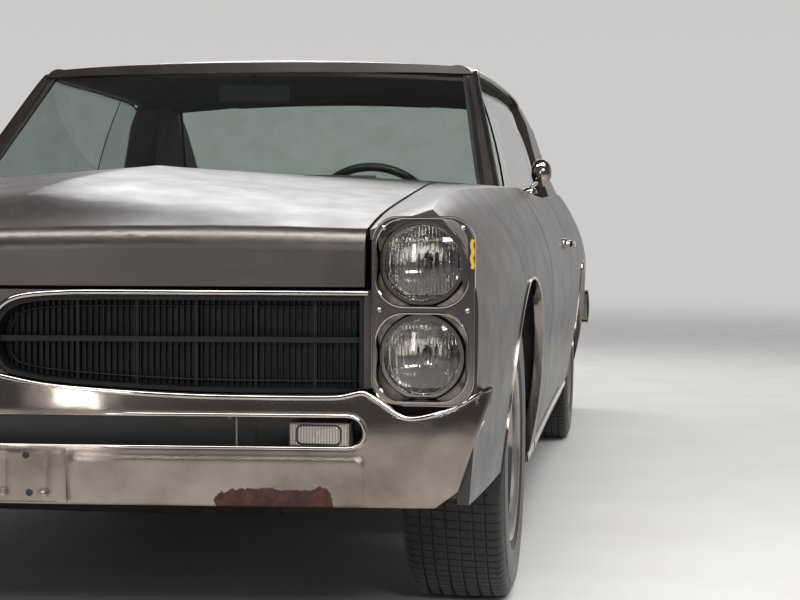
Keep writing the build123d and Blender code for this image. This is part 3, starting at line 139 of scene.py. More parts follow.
# Body finishes

LOOKS_UP = (0.35, 0.95)              # upward part of a face's normal: no dust, full dust
SPLASH_HEIGHTS = (0.42, 0.26)        # road splash on the lacquer: none above, full below
BUMPER_SHADE_X = (2.02, 2.14)        # painted shade behind the bumper's ends, darkening the lacquer: none, full
BUMPER_SHADE_Z = (0.56, 0.44)
# Edges of the rusted patch on the bumper: axis, where it starts, where it is full, how it fades
RUST_PATCH = (("X", 0.0, 0.1, "LINEAR"), ("Y", 0.385, 0.475, "SMOOTHSTEP"),
              ("Y", 0.665, 0.615, "SMOOTHSTEP"), ("Z", 0.40, 0.35, "SMOOTHSTEP"))
BUMPER_CORNER = 0.014                # rounding that the light sees over the bumper's flats


def worn_lacquer():
    """Metallic lacquer on pressed steel, sprayed, decades old: dull aluminium flake, the clear coat
    gone in patches, a film of dust on what looks up and brown bloom low on the panels. Behind the
    bumper's ends the lacquer is painted near black and loses its metal: painted shade. Its orange
    peel is about 3 mm from crest to crest."""
    material, tree, surface, place = finish("worn_lacquer", Metallic=0.80, Coat_Weight=0.30,
                                            Coat_Roughness=0.28)
    ahead, height = [add(tree, "ShaderNodeSeparateXYZ", {0: place}, axis) for axis in "XZ"]
    normal = add(tree, "ShaderNodeNewGeometry", out="Normal")
    facing = add(tree, "ShaderNodeSeparateXYZ", {0: normal}, "Z")
    upward, splash, front, under = [
        add(tree, "ShaderNodeMapRange", {"Value": value, "From Min": none, "From Max": full})
        for value, (none, full) in ((facing, LOOKS_UP), (height, SPLASH_HEIGHTS),
                                    (ahead, BUMPER_SHADE_X), (height, BUMPER_SHADE_Z))]
    run_down = add(tree, "ShaderNodeMapping", {"Vector": place, "Scale": (0.6, 0.6, 7.0)})
    dust, grime, shade = [
        add(tree, "ShaderNodeMath", {0: reach, 1: patches}, operation="MULTIPLY")
        for reach, patches in ((upward, cloud(tree, place, 111.1, 8.0, 0.3, 0.75)),
                               (splash, cloud(tree, place, 71.43, 9.0, 0.38, 0.62)),
                               (front, under))]
    body = layer(tree, "#433d3a", cloud(tree, place, 384.6, 5.0), "#4f4945")
    body = layer(tree, body, cloud(tree, run_down, 333.3, 6.0, 0.42, 0.7), "#332d2a", 0.3)
    body = layer(tree, body, dust, "#786d62", 0.10)
    body = layer(tree, body, grime, "#41342b", 0.7)
    # Painted shade: behind the bumper's ends the lacquer goes near black and loses its metal
    feed(tree, surface, Base_Color=layer(tree, body, shade, "#14110f"),
         Metallic=add(tree, "ShaderNodeMapRange", {"Value": shade, "To Min": 0.80, "To Max": 0.0}),
         Roughness=add(tree, "ShaderNodeMapRange", {"Value": cloud(tree, place, 90.91, 7.0),
                                                    "To Min": 0.33, "To Max": 0.43}))
    grained(tree, surface, place, 3.03, 0.05, 0.35, 2.0)
    return material


def plated(name, clear_hex, dull_hex, rust_amount, rough):
    """Chrome plate on steel, polished: a hard mirror with grey haze, and pits about 2 mm apart
    with brown specks in some."""
    material, tree, surface, place = finish(name, Metallic=1.0)
    weathered(tree, surface, cloud(tree, place, 142.9, 9.0, 0.42, 0.72), clear_hex, dull_hex, rough)
    pits = add(tree, "ShaderNodeTexVoronoi", {"Scale": per_metre(2.381), "Vector": place},
               "Distance")
    pit = add(tree, "ShaderNodeMapRange", {"Value": pits, "From Min": 0.16, "From Max": 0.10})
    specks = add(tree, "ShaderNodeMath", {0: pit, 1: cloud(tree, place, 45.45, 6.0, 0.52, 0.66)},
                 operation="MULTIPLY")
    plate = surface.inputs["Base Color"].links[0].from_socket
    feed(tree, surface, Base_Color=layer(tree, plate, specks, "#4a2c1c", rust_amount))
    relief(tree, surface, specks, -0.15, 0.5)
    return material, tree, surface, place


def bumper_plate():
    """Chrome plate on thick pressed steel, with a patch low on the left where the plate has lifted
    off and the steel has rusted."""
    material, tree, surface, place = plated("bumper_plate", "#8b827a", "#6b625b", 0.9, (0.06, 0.15))
    area = 0.9
    for axis, start, full, fade in RUST_PATCH:
        along = add(tree, "ShaderNodeSeparateXYZ", {0: place}, axis)
        edge = add(tree, "ShaderNodeMapRange", {"Value": along, "From Min": start,
                                                "From Max": full}, interpolation_type=fade)
        area = add(tree, "ShaderNodeMath", {0: area, 1: edge}, operation="MULTIPLY")
    ragged = add(tree, "ShaderNodeTexNoise", {"Scale": per_metre(38.46), "Detail": 9.0,
                                              "Roughness": 0.65, "Vector": place}, "Fac")
    ragged = add(tree, "ShaderNodeMath", {0: area, 1: ragged}, operation="ADD")
    bare = add(tree, "ShaderNodeMapRange", {"Value": ragged, "From Min": 0.93, "From Max": 0.97})
    plate, rough = [surface.inputs[name].links[0].from_socket
                    for name in ("Base Color", "Roughness")]
    rust = layer(tree, "#1d120e", cloud(tree, place, 16.67, 8.0), "#462719")
    feed(tree, surface, Base_Color=layer(tree, plate, bare, rust),
         Metallic=add(tree, "ShaderNodeMapRange", {"Value": bare, "To Min": 1.0, "To Max": 0.0}),
         Roughness=add(tree, "ShaderNodeMix", {0: bare, 2: rough, 3: 0.85}, data_type="FLOAT"))
    bump = surface.inputs["Normal"].links[0].from_node
    tree.links.new(add(tree, "ShaderNodeBevel", {"Radius": BUMPER_CORNER}, samples=6),
                   bump.inputs["Normal"])
    return material


LACQUER = worn_lacquer()
TRIM_PLATE = plated("trim_plate", "#aba49e", "#857e77", 0.55, (0.05, 0.13))[0]
BUMPER_PLATE = bumper_plate()
# Thick black bitumen brushed over steel: matt, lumpy and dusty
UNDERSEAL = plain_finish("underseal", (83.33, 7.0), "#161514", "#2b2825", None,
                         dict(size_mm=7.143, depth_mm=0.8, strength=0.6, detail=4.0),
                         Roughness=0.82)
# Silver enamel over the stamped texture in the lamp pockets: a fine leather-like grain
STAMPED_SILVER = plain_finish("stamped_silver", (33.33, 7.0, 0.42, 0.7), "#979089", "#5b5048",
                              (0.34, 0.6), dict(size_mm=2.632, depth_mm=0.5, strength=0.8,
                                                feature="SMOOTH_F1"), Metallic=0.75)
# Stove enamel on pressed steel, black and satin, with a grey film of road dust
GRILLE_ENAMEL = plain_finish("grille_enamel", (40, 8.0, 0.4, 0.8), "#030303", "#0b0a0a",
                             (0.45, 0.7), Specular_IOR_Level=0.32)


# Glass and lenses

WAVE_RADIANS = 20                    # a wave texture runs this far for each unit of its scale
RIB_PITCH = 5.236                    # from rib to rib inside a moulded lens, in millimetres


def moulded_lens(name, deep_hex, light_hex):
    """Injection-moulded acrylic lens with fine upright ribs on its inside."""
    material, tree, surface, place = finish(name, IOR=1.49, Roughness=0.12, Coat_Weight=0.6,
                                            Coat_Roughness=0.05)
    scale = 2 * math.pi / WAVE_RADIANS * per_metre(RIB_PITCH)
    ribs = add(tree, "ShaderNodeTexWave", {"Scale": scale, "Vector": place}, "Fac",
               bands_direction="Y")
    weathered(tree, surface, ribs, deep_hex, light_hex)
    relief(tree, surface, ribs, 0.4, 0.5)
    return material


RED_LENS = moulded_lens("red_lens", "#310403", "#5d0a07")
PARKING_LENS = moulded_lens("parking_lens", "#6f6861", "#9a9289")
# Soda-lime float glass: clear, faintly green, with a thin film of dust and wiper smears
WINDOW_GLASS = plain_finish("window_glass", (142.9, 8.0, 0.45, 0.8), "#d3dcd8", "#c9d1cc",
                            (0.0, 0.03), Transmission_Weight=1.0, IOR=1.45, Roughness=0.02)
# Pressed borosilicate lamp glass: thick, clear and rippled
LENS_GLASS = plain_finish("lens_glass", (33.33, 6.0, 0.4, 0.8), "#f6f7f6", "#ddd9d2",
                          Transmission_Weight=1.0, IOR=1.47, Roughness=0.03)
# Vacuum-deposited aluminium inside the lamp bowl: a clean mirror
SILVERED_BOWL = plain_finish("silvered_bowl", (25, 4.0), "#efedea", "#bcb7b0",
                             Metallic=1.0, Roughness=0.08)


# Running gear and cabin

def wheel_enamel():
    """Silver-grey enamel on a pressed steel wheel, dulled, with rust at its edges."""
    material, tree, surface, place = finish("wheel_enamel", Metallic=0.6)
    weathered(tree, surface, cloud(tree, place, 62.5, 7.0), "#6e6c6b", "#8b8886", (0.35, 0.55))
    enamel = surface.inputs["Base Color"].links[0].from_socket
    rust = cloud(tree, place, 23.81, 9.0, 0.60, 0.72)
    feed(tree, surface, Base_Color=layer(tree, enamel, rust, "#5a3826", 0.7))
    return material


def masking_tape_paper():
    """Crepe paper tape, yellow, finely wrinkled across its length."""
    material, tree, surface, place = finish("masking_tape", Roughness=0.75)
    crepe = add(tree, "ShaderNodeTexNoise", {"Scale": per_metre(1.111), "Detail": 3.0,
                                             "Vector": place}, "Fac")
    weathered(tree, surface, crepe, "#a58212", "#d9b427")
    relief(tree, surface, crepe, 0.2, 0.8)
    return material


WHEEL_ENAMEL = wheel_enamel()
MASKING_TAPE = masking_tape_paper()
# Vulcanised rubber: near black, matt, greyed with brake dust and dry dirt on the tread. Its grain
# is drawn at 1.1 mm, coarser than the real one, so that it shows
TYRE_RUBBER = plain_finish("tyre_rubber", (35.71, 9.0, 0.38, 0.7), "#100f0e", "#26221f",
                           (0.62, 0.9), dict(size_mm=1.111, depth_mm=0.12, strength=0.6,
                                             detail=2.0), Sheen_Weight=0.15)
# Sand-cast iron with old oil and flash rust: dark, rough, faintly metallic. Its sand grit is drawn
# at 2.2 mm, coarser than the real one, so that it shows
CAST_IRON = plain_finish("cast_iron", (55.56, 9.0, 0.4, 0.66), "#2c2a28", "#5b3d2b", (0.55, 0.85),
                         dict(size_mm=2.222, depth_mm=0.4, strength=0.6, detail=3.0),
                         Metallic=0.35)
# Aluminised steel tube and tank: dull grey with brown heat and damp stains
PIPE_STEEL = plain_finish("pipe_steel", (111.1, 9.0, 0.42, 0.68), "#7b7873", "#5a4232",
                          (0.4, 0.75), Metallic=0.85)
# Black vinyl with an embossed leather grain, calendered on cloth: satin, a little dusty
SEAT_VINYL = plain_finish("seat_vinyl", (125, 6.0), "#1b1a1a", "#2b2928", (0.42, 0.6),
                          dict(size_mm=2.083, depth_mm=0.3, strength=0.5, feature="SMOOTH_F1"),
                          IOR=1.5, Sheen_Weight=0.1)
# Injection-moulded ABS, black, with a fine spark-eroded grain, drawn at 0.9 mm, coarser than the
# real one, so that it shows
MOULDED_PLASTIC = plain_finish("moulded_plastic", (71.43, 7.0, 0.4, 0.8), "#141414", "#2a2826",
                               (0.42, 0.65), dict(size_mm=0.909, depth_mm=0.08, strength=0.5,
                                                  detail=1.0), IOR=1.53)
# Perforated pale grey vinyl stretched over bows, its holes in even rows
HEADLINER = plain_finish("headliner", (166.7,), "#57534e", "#6a655f", None,
                         dict(size_mm=6.25, depth_mm=0.5, strength=0.4, scatter=0.0),
                         Roughness=0.75)
# Extruded black rubber: matt with a slight bloom
RUBBER_SEAL = plain_finish("rubber_seal", (28.57, 5.0), "#0f0f0f", "#1f1e1d", (0.55, 0.75))
# Loop-pile nylon carpet, charcoal, matted and dusty, a loop about every 4 mm
CARPET = plain_finish("carpet", (111.1, 7.0), "#191817", "#2e2b28", None,
                      dict(size_mm=3.846, depth_mm=1.5, strength=0.9), Roughness=0.95,
                      Sheen_Weight=0.35)
# White enamel on thin pressed aluminium, chalky with age
PLATE_ENAMEL = plain_finish("plate_enamel", (50, 6.0), "#b9b6b0", "#cfccc6", (0.35, 0.6), IOR=1.5)

# Finishes of the frame's nodes: outside, where it differs inside, and the nodes that have them
FINISH_GROUPS = (
    (LACQUER, UNDERSEAL, "hood", "trunk_lid", "front_fenders", "quarter_panels", "tail_panel",
     "nose_panel", "firewall"),
    (LACQUER, HEADLINER, "roof"),
    (LACQUER, MOULDED_PLASTIC, "rear_deck"),
    (LACQUER, SEAT_VINYL, "door_left", "door_right"),
    (BUMPER_PLATE, UNDERSEAL, "front_bumper"),
    (TRIM_PLATE, UNDERSEAL, "rear_bumper"),
    (TRIM_PLATE, None, "headlamp_rings", "arch_mouldings", "door_mirror_left", "headlamp_bezels"),
    (GRILLE_ENAMEL, None, "grilles"),
    (SILVERED_BOWL, None, "headlamps"),
    (WINDOW_GLASS, None, "windshield", "back_glass", "quarter_glass", "door_glass_left",
     "door_glass_right"),
    (RED_LENS, None, "tail_lamps"),
    (PARKING_LENS, None, "parking_lamps"),
    (CAST_IRON, None, "engine_block", "rear_axle", "knuckle_left", "knuckle_right",
     "front_suspension"),
    (PIPE_STEEL, None, "gearbox", "exhaust", "fuel_tank"),
    (SEAT_VINYL, None, "front_seats", "rear_seat"),
    (MOULDED_PLASTIC, None, "dashboard", "steering_wheel", "rear_view_mirror", "wipers"),
    (TYRE_RUBBER, None, "tyre"),
    (WHEEL_ENAMEL, None, "rim"),
)
NODE_FINISHES = {name: (outside, inside) for outside, inside, *names in FINISH_GROUPS
                 for name in names}
CABIN_CENTRE_Z = 0.62
SMOOTH_ANGLE = math.radians(32)
BEZEL_FACE_X = 2.5350                # rim of the lamp bezels; the stamped pockets lie behind it
CARPET_X, CARPET_HALF_Y, CARPET_TOP = (-1.05, 1.0), 0.78, 0.56


def faces_inward(polygon):
    """True for a face that looks towards the middle line of the car, a little above the sills."""
    outward = Vector((0, polygon.center.y, polygon.center.z - CABIN_CENTRE_Z))
    return polygon.normal.dot(outward) < -0.02 and abs(polygon.normal.x) < 0.92


def dress(name, node):
    """Gives a frame node its finish, with the second one on the faces that look inward."""
    kind = name.split("_")[0] if name.startswith(("tyre", "rim")) else name
    outside, inside = NODE_FINISHES.get(kind, (UNDERSEAL, None))
    node.data.materials.clear()
    node.data.materials.append(outside)
    if inside:
        node.data.materials.append(inside)
        for polygon in node.data.polygons:
            polygon.material_index = 1 if faces_inward(polygon) else 0


def dress_where(name, material, belongs):
    """Gives the faces of one node that belong together another finish."""
    node = nodes[name]
    node.data.materials.append(material)
    index = len(node.data.materials) - 1
    for polygon in node.data.polygons:
        if belongs(polygon.center, polygon.normal):
            polygon.material_index = index


for node_name, node_object in nodes.items():
    dress(node_name, node_object)
dress_where("floor_pan", CARPET,
            lambda at, way: way.z > 0.3 and abs(at.y) < CARPET_HALF_Y
            and CARPET_X[0] < at.x < CARPET_X[1] and at.z < CARPET_TOP)
dress_where("headlamp_bezels", STAMPED_SILVER,
            lambda at, way: at.x < BEZEL_FACE_X - 0.0010 and way.x > 0.25)
dress_where("arch_mouldings", UNDERSEAL, lambda at, way: at.x > 1.95 and at.z < 0.43)
dress_where("rear_bumper", TRIM_PLATE, lambda at, way: abs(at.y) > 0.84)


# Mesh helpers

def new_object(name, data):
    """Adds an object to the scene."""
    added = bpy.data.objects.new(name, data)
    bpy.context.scene.collection.objects.link(added)
    return added


def piece(name, vertices, faces, material, body, slot_name, sharp=SMOOTH_ANGLE):
    """Adds one mesh piece in the car's frame, finished, riding on its body."""
    mesh = bpy.data.meshes.new(name)
    mesh.from_pydata([tuple(v) for v in vertices], [], faces)
    mesh.update()
    mesh.polygons.foreach_set("use_smooth", [True] * len(mesh.polygons))
    mesh.set_sharp_from_angle(angle=sharp)
    mesh.materials.append(material)
    built = new_object(name, mesh)
    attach(built, body)
    return built


def soften(built, width, segments=2):
    """Rounds a piece's edges, as pressing and moulding leave them."""
    bevel = built.modifiers.new("rounded_edges", "BEVEL")
    bevel.width = width
    bevel.segments = segments
    bevel.limit_method = "ANGLE"
    bevel.angle_limit = math.radians(40)
    return built


def grid_faces(rows, columns, close_rows=False, close_columns=False, start=0):
    """Quads over a grid of points that was written row by row."""
    faces = []
    for i in range(rows if close_rows else rows - 1):
        for j in range(columns if close_columns else columns - 1):
            a = start + i * columns + j
            b = start + i * columns + (j + 1) % columns
            c = start + ((i + 1) % rows) * columns + (j + 1) % columns
            d = start + ((i + 1) % rows) * columns + j
            faces.append((a, b, c, d))
    return faces


class Shape:
    """Vertices and faces gathered from several solids of one piece."""

    def __init__(self):
        self.vertices, self.faces = [], []

    def take(self, vertices, faces):
        """One more solid, its faces counted from its own first vertex."""
        start = len(self.vertices)
        self.vertices += [Vector(v) for v in vertices]
        self.faces += [tuple(start + i for i in face) for face in faces]

    def block(self, low, high):
        """A box between two corners."""
        corners = [(x, y, z) for x in (low[0], high[0]) for y in (low[1], high[1])
                   for z in (low[2], high[2])]
        self.take(corners, [(0, 1, 3, 2), (4, 6, 7, 5), (0, 4, 5, 1), (2, 3, 7, 6), (0, 2, 6, 4),
                            (1, 5, 7, 3)])

    def turned(self, profile, centre, axis, steps, closed=True):
        """A ring or disc turned about an axis from (radius, along) points."""
        along = Vector(axis).normalized()
        side = along.orthogonal().normalized()
        across = along.cross(side)
        points = []
        for i in range(steps):
            angle = 2 * math.pi * i / steps
            ray = side * math.cos(angle) + across * math.sin(angle)
            points += [Vector(centre) + ray * r + along * a for r, a in profile]
        self.take(points, grid_faces(steps, len(profile), True, closed))

    def swept(self, path, section, outward, closed=False):
        """A strip of one section along a path; outward gives its top side at each point."""
        count = len(path)
        points = []
        for i in range(count):
            before = path[i - 1] if closed or i else path[i]
            after = path[(i + 1) % count] if closed or i < count - 1 else path[i]
            ahead = (after - before).normalized()
            top = outward(i) if callable(outward) else Vector(outward)
            top = (top - ahead * top.dot(ahead)).normalized()
            side = ahead.cross(top)
            points += [path[i] + side * a + top * b for a, b in section]
        self.take(points, grid_faces(count, len(section), closed, True))
        if not closed:
            base = len(self.vertices) - len(points)
            size = len(section)
            self.faces.append(tuple(base + i for i in reversed(range(size))))
            self.faces.append(tuple(base + (count - 1) * size + i for i in range(size)))

    def sheet(self, front, back, columns, rows):
        """A closed sheet between two grids of points that were written row by row."""
        start, count = len(self.vertices), columns * rows
        self.take(front, grid_faces(columns, rows))
        self.take(back, [tuple(reversed(face)) for face in grid_faces(columns, rows)])
        rim = [i * rows for i in range(columns)]
        rim += [(columns - 1) * rows + j for j in range(1, rows)]
        rim += [i * rows + rows - 1 for i in reversed(range(columns - 1))]
        rim += list(reversed(range(1, rows - 1)))
        for a, b in zip(rim, rim[1:] + rim[:1]):
            self.faces.append(tuple(start + i for i in (a, a + count, b + count, b)))

    def mirrored(self):
        """The same shape on the other side of the car as well."""
        start = len(self.vertices)
        self.vertices += [Vector((v.x, -v.y, v.z)) for v in self.vertices]
        self.faces += [tuple(start + i for i in reversed(face)) for face in list(self.faces)]

    def build(self, name, *words, **settings):
        """The finished piece."""
        return piece(name, self.vertices, self.faces, *words, **settings)


def half_round(width, height):
    """Section of a domed strip: flat underneath, round on top."""
    points = [(-width / 2, -height * 0.4)]
    for i in range(7):
        angle = math.pi * (1 - i / 6)
        points.append((width / 2 * math.cos(angle), height * math.sin(angle)))
    return points + [(width / 2, -height * 0.4)]


def flat_section(half, low, high):
    """Section of a flat strip, as far to each side as half its width, from low to high."""
    return [(-half, low), (-half, high), (half, high), (half, low)]


def oval_section(wide, tall, steps):
    """Section of an oval bar, given by its two radii."""
    return [(wide * math.cos(2 * math.pi * i / steps), tall * math.sin(2 * math.pi * i / steps))
            for i in range(steps)]


def round_section(radius, steps):
    """Section of a round bar."""
    return oval_section(radius, radius, steps)


def smooth_path(points, steps):
    """A path through the points with rounded corners between them."""
    points = [Vector(p) for p in points]
    padded = [points[0]] + points + [points[-1]]
    path = []
    for i in range(1, len(padded) - 2):
        p0, p1, p2, p3 = padded[i - 1:i + 3]
        for j in range(steps):
            t = j / steps
            path.append(0.5 * (2 * p1 + (p2 - p0) * t + (2 * p0 - 5 * p1 + 4 * p2 - p3) * t * t
                               + (3 * p1 - p0 - 3 * p2 + p3) * t ** 3))
    return path + [points[-1]]


# Wheels

WHEELS = {"front_left": (1.679, 0.790), "front_right": (1.679, -0.790),
          "rear_left": (-1.242, 0.790), "rear_right": (-1.242, -0.790)}
AXLE_Z = 0.333
TREAD_RADIUS, TREAD_HALF = 333.0, 93.0
GROOVES = (-70.0, -44.0, -15.0, 15.0, 44.0, 70.0)
GROOVE_HALF, GROOVE_DEPTH = 2.9, 6.5
TREAD_PITCHES = 96
SLOT_DEPTH = 2.2
CROWN_FALL = 3.0                     # how far the tread falls from its middle to its shoulder
RIBS = (-82.0, -57.0, -29.5, 0.0, 29.5, 57.0, 82.0)
SLOT_SLANT = 0.28                    # how many pitches a slot leans over from middle to shoulder
FIRST_NUT, NUT_CIRCLE = 0.3, 0.060


def tread_rows():
    """Tyre section from bead to bead in mm: (across, radius, slot depth at that row)."""
    side = [(91, 192, 0), (97, 199, 0), (98.5, 208, 0), (103, 214, 0), (106.5, 222, 0),
            (108.6, 226, 0), (110.2, 227.5, 0), (110.6, 230, 0), (110.4, 232, 0),
            (113.2, 246, 0), (114.6, 262, 0), (114, 276, 0), (112.4, 290, 0), (111.6, 295, 0),
            (112.4, 297, 0), (112, 301, 0), (110.4, 303, 0), (107, 314, 0), (103.5, 321, 1.6),
            (98, 327, 2.4), (TREAD_HALF, 330, SLOT_DEPTH)]
    rows = [(-a, r, d) for a, r, d in side]
    stops = [(rib, False) for rib in RIBS]
    for groove in GROOVES:
        stops += [(groove - GROOVE_HALF - 0.6, False), (groove - GROOVE_HALF + 1.0, True),
                  (groove + GROOVE_HALF - 1.0, True), (groove + GROOVE_HALF + 0.6, False)]
    for across, in_groove in sorted(stops):
        crown = TREAD_RADIUS - CROWN_FALL * (across / TREAD_HALF) ** 2
        if in_groove:
            rows.append((across, crown - GROOVE_DEPTH, 0))
        else:
            rows.append((across, crown, SLOT_DEPTH))
    rows += [(a, r, d) for a, r, d in reversed(side)]
    return rows


def tyre_piece(name, x, y):
    """A radial tyre: beads, sidewall rings, shoulder lugs, six grooves and fine slanted slots."""
    rows = tread_rows()
    shares = ((0.0, 0), (0.03, 1), (0.14, 1), (0.17, 0), (0.5, 0))
    vertices = []
    columns = TREAD_PITCHES * len(shares)
    for index in range(columns):
        pitch, step = divmod(index, len(shares))
        share, slotted = shares[step]
        for across, radius, slot in rows:
            slant = math.copysign(min(1.0, abs(across) / TREAD_HALF), across) if slot else 0.0
            angle = 2 * math.pi * (pitch + share + SLOT_SLANT * slant) / TREAD_PITCHES
            r = radius - (slot if slotted else 0)
            vertices.append((x + r * MM * math.sin(angle), y + across * MM,
                             AXLE_Z + r * MM * math.cos(angle)))
    inner = [(-76, 192), (-100, 250), (-96, 305), (0, 318), (96, 305), (100, 250), (76, 192)]
    size = len(rows)
    faces = grid_faces(columns, size, True, False)
    start = len(vertices)
    for index in range(columns):
        angle = 2 * math.pi * index / columns
        for across, radius in inner:
            vertices.append((x + radius * MM * math.sin(angle), y + across * MM,
                             AXLE_Z + radius * MM * math.cos(angle)))
    faces += [tuple(reversed(f)) for f in grid_faces(columns, len(inner), True, False, start)]
    for index in range(columns):
        ahead = (index + 1) % columns
        faces.append((index * size, ahead * size, start + ahead * len(inner),
                      start + index * len(inner)))
        faces.append((ahead * size + size - 1, index * size + size - 1,
                      start + (index + 1) * len(inner) - 1, start + (ahead + 1) * len(inner) - 1))
    built = piece("tyre_tread_" + name, vertices, faces, TYRE_RUBBER, "wheel_" + name, "tyre",
                  math.radians(28))
    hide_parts("tyre_" + name)


def wheel_trim(name, x, y):
    """Plated trim ring over the wheel's edge, and five nuts round the hub."""
    out = 1 if y > 0 else -1
    ring = Shape()
    ring.turned([(0.1975, 0.1035), (0.2035, 0.1060), (0.2068, 0.1040), (0.2078, 0.1005),
                 (0.2060, 0.0990), (0.1960, 0.0985), (0.1860, 0.0900), (0.1735, 0.0760),
                 (0.1700, 0.0700), (0.1715, 0.0700), (0.1760, 0.0770), (0.1880, 0.0930)],
                (x, y, AXLE_Z), (0, out, 0), 96)
    ring.build("trim_ring_" + name, TRIM_PLATE, "wheel_" + name, "chrome")
    nuts = Shape()
    for index in range(5):
        angle = 2 * math.pi * index / 5 + FIRST_NUT
        centre = (x + NUT_CIRCLE * math.cos(angle), y + out * 0.034,
                  AXLE_Z + NUT_CIRCLE * math.sin(angle))
        nuts.turned([(0.0, 0.0), (0.0120, 0.0), (0.0120, 0.002), (0.0098, 0.004), (0.0098, 0.017),
                     (0.0082, 0.0195), (0.0, 0.0200)], centre, (0, out, 0), 6, False)
    nuts.build("wheel_nuts_" + name, TRIM_PLATE, "wheel_" + name, "chrome", sharp=math.radians(20))


for wheel_name, (wheel_x, wheel_y) in WHEELS.items():
    tyre_piece(wheel_name, wheel_x, wheel_y)
    wheel_trim(wheel_name, wheel_x, wheel_y)


# Headlamps

LAMP_X, LAMP_Y, LAMP_HEIGHTS = 2.497, 0.792, (0.782, 0.612)
LENS_RADIUS = 0.0695
BOWL_RADIUS, BULB_HOLE = 0.0688, 0.006
FLUTE = 0.0062


def lens_front(y, z):
    """How far the lens stands ahead of its rim, on a shallow dome."""
    return 0.008 - 0.010 * (y * y + z * z) / LENS_RADIUS ** 2


def flutes(y, z):
    """Depth of the pressed flutes and prisms on the inside of a lens."""
    band = 0.5 + 0.5 * math.tanh((abs(z) - 0.020) * 900)
    fine = abs(math.sin(math.pi * y / FLUTE))
    wide = abs(math.sin(math.pi * (y + 0.004) / (FLUTE * 2.2)))
    rungs = 0.5 + 0.5 * math.tanh(60 * math.sin(z * 300))
    return 0.0017 * fine * band + 0.0020 * wide * (1 - band) + 0.0004 * rungs * (1 - band)


def lens(shape, centre):
    """Pressed lens: smooth in front, fluted behind, with three aiming nubs near its rim."""
    columns, rows = 132, 57
    for back in (False, True):
        points = []
        for i in range(columns):
            y = LENS_RADIUS * 0.999 * (2 * i / (columns - 1) - 1)
            chord = math.sqrt(max(LENS_RADIUS ** 2 - y * y, 1e-8))
            for j in range(rows):
                z = chord * (2 * j / (rows - 1) - 1)
                x = lens_front(y, z)
                if back:
                    x -= 0.0035 + flutes(y, z)
                points.append(Vector(centre) + Vector((x, y, z)))
        faces = grid_faces(columns, rows)
        shape.take(points, [tuple(reversed(f)) for f in faces] if back else faces)
    for angle in (90, 210, 330):
        ray = math.radians(angle)
        y, z = 0.055 * math.cos(ray), 0.055 * math.sin(ray)
        nub = Vector(centre) + Vector((lens_front(y, z) - 0.0005, y, z))
        shape.turned([(0.0, 0.0), (0.0045, 0.0), (0.0042, 0.0022), (0.0034, 0.0030), (0.0, 0.0030)],
                     nub, (1, 0, 0), 16, False)


def lamp_bowl(shape, centre):
    """Parabolic bowl behind the lens, open at the front."""
    profile = []
    for i in range(15):
        radius = BULB_HOLE + (BOWL_RADIUS - BULB_HOLE) * i / 14
        profile.append((radius, -0.043 + 0.0285 * (radius / BOWL_RADIUS) ** 2))
    outer = [(radius + 0.0010, along - 0.0008) for radius, along in profile]
    shape.turned([(BOWL_RADIUS, -0.0080)] + profile[::-1] + outer + [(0.0697, -0.0080)], centre,
                 (1, 0, 0), 72)


def lamp_insides(shape, centre):
    """Filament shield and its two wires at the bowl's focus."""
    focus = Vector(centre) + Vector((-0.030, 0, 0))
    shape.turned([(0.0, 0.014), (0.0075, 0.013), (0.0090, 0.010), (0.0090, 0.0), (0.0082, 0.0),
                  (0.0082, 0.009), (0.0, 0.012)], focus, (1, 0, 0), 24, False)
    for side in (-1, 1):
        path = smooth_path([focus + Vector((-0.010, side * 0.012, 0)),
                            focus + Vector((-0.002, side * 0.010, 0.002)),
                            focus + Vector((0.004, side * 0.006, 0))], 4)
        shape.swept(path, round_section(0.0011, 6), (0, 0, 1))


def headlamps():
    """Lenses, bowls and filament shields of all four lamps."""
    lenses, bowls, insides = Shape(), Shape(), Shape()
    for z in LAMP_HEIGHTS:
        centre = (LAMP_X, LAMP_Y, z)
        lens(lenses, centre)
        lamp_bowl(bowls, centre)
        lamp_insides(insides, centre)
    for shape in (lenses, bowls, insides):
        shape.mirrored()
    front = lenses.build("lamp_lenses", LENS_GLASS, "car_body", "lamp_glass",
                         sharp=math.radians(50))
    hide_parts("headlamps")
    bowls.build("lamp_bowls", SILVERED_BOWL, "car_body", "chrome")
    insides.build("lamp_filament_shields", PIPE_STEEL, "car_body", "steel")


headlamps()


# Grille

NOSE_X, NOSE_SWEEP, NOSE_FACING = 2.614, 0.1306, (1, 0.13, 0)
SLAT_PITCH, SLAT_HALF, SLAT_DEPTH = 0.0112, 0.0011, 0.010
# Left grille opening seen from in front, round its inner end, in metres. Columns: y, z
GRILLE_EDGE = [(0.690, 0.722), (0.450, 0.722), (0.216, 0.722), (0.144, 0.7205), (0.081, 0.715),
               (0.048, 0.703), (0.028, 0.680), (0.019, 0.645), (0.022, 0.610), (0.038, 0.583),
               (0.062, 0.5725), (0.090, 0.566), (0.143, 0.559), (0.254, 0.551), (0.386, 0.545),
               (0.517, 0.5434), (0.690, 0.5436)]
BUMPER_EDGE = [(0.004, 0.5825), (0.037, 0.5754), (0.090, 0.5646), (0.143, 0.5574), (0.254, 0.5495),
               (0.386, 0.5434), (0.517, 0.5418), (0.620, 0.542), (0.656, 0.5439), (0.689, 0.5512),
               (0.705, 0.546), (0.731, 0.530), (0.757, 0.512), (0.783, 0.5061), (0.823, 0.5143),
               (0.862, 0.5298), (0.890, 0.546), (0.915, 0.557)]
BUMPER_PLAN = [(0.0, 2.624), (0.300, 2.598), (0.560, 2.570), (0.720, 2.553), (0.820, 2.540),
               (0.880, 2.521), (0.911, 2.490), (0.921, 2.446)]
GRILLE_OUTER = 0.690
GRILLE_MIDDLE_Z = 0.645              # height of the grille's inner end


def nose_x(y, back):
    """Where the nose's shallow V stands at one y, that far behind its front, in metres."""
    return NOSE_X - back - NOSE_SWEEP * abs(y)


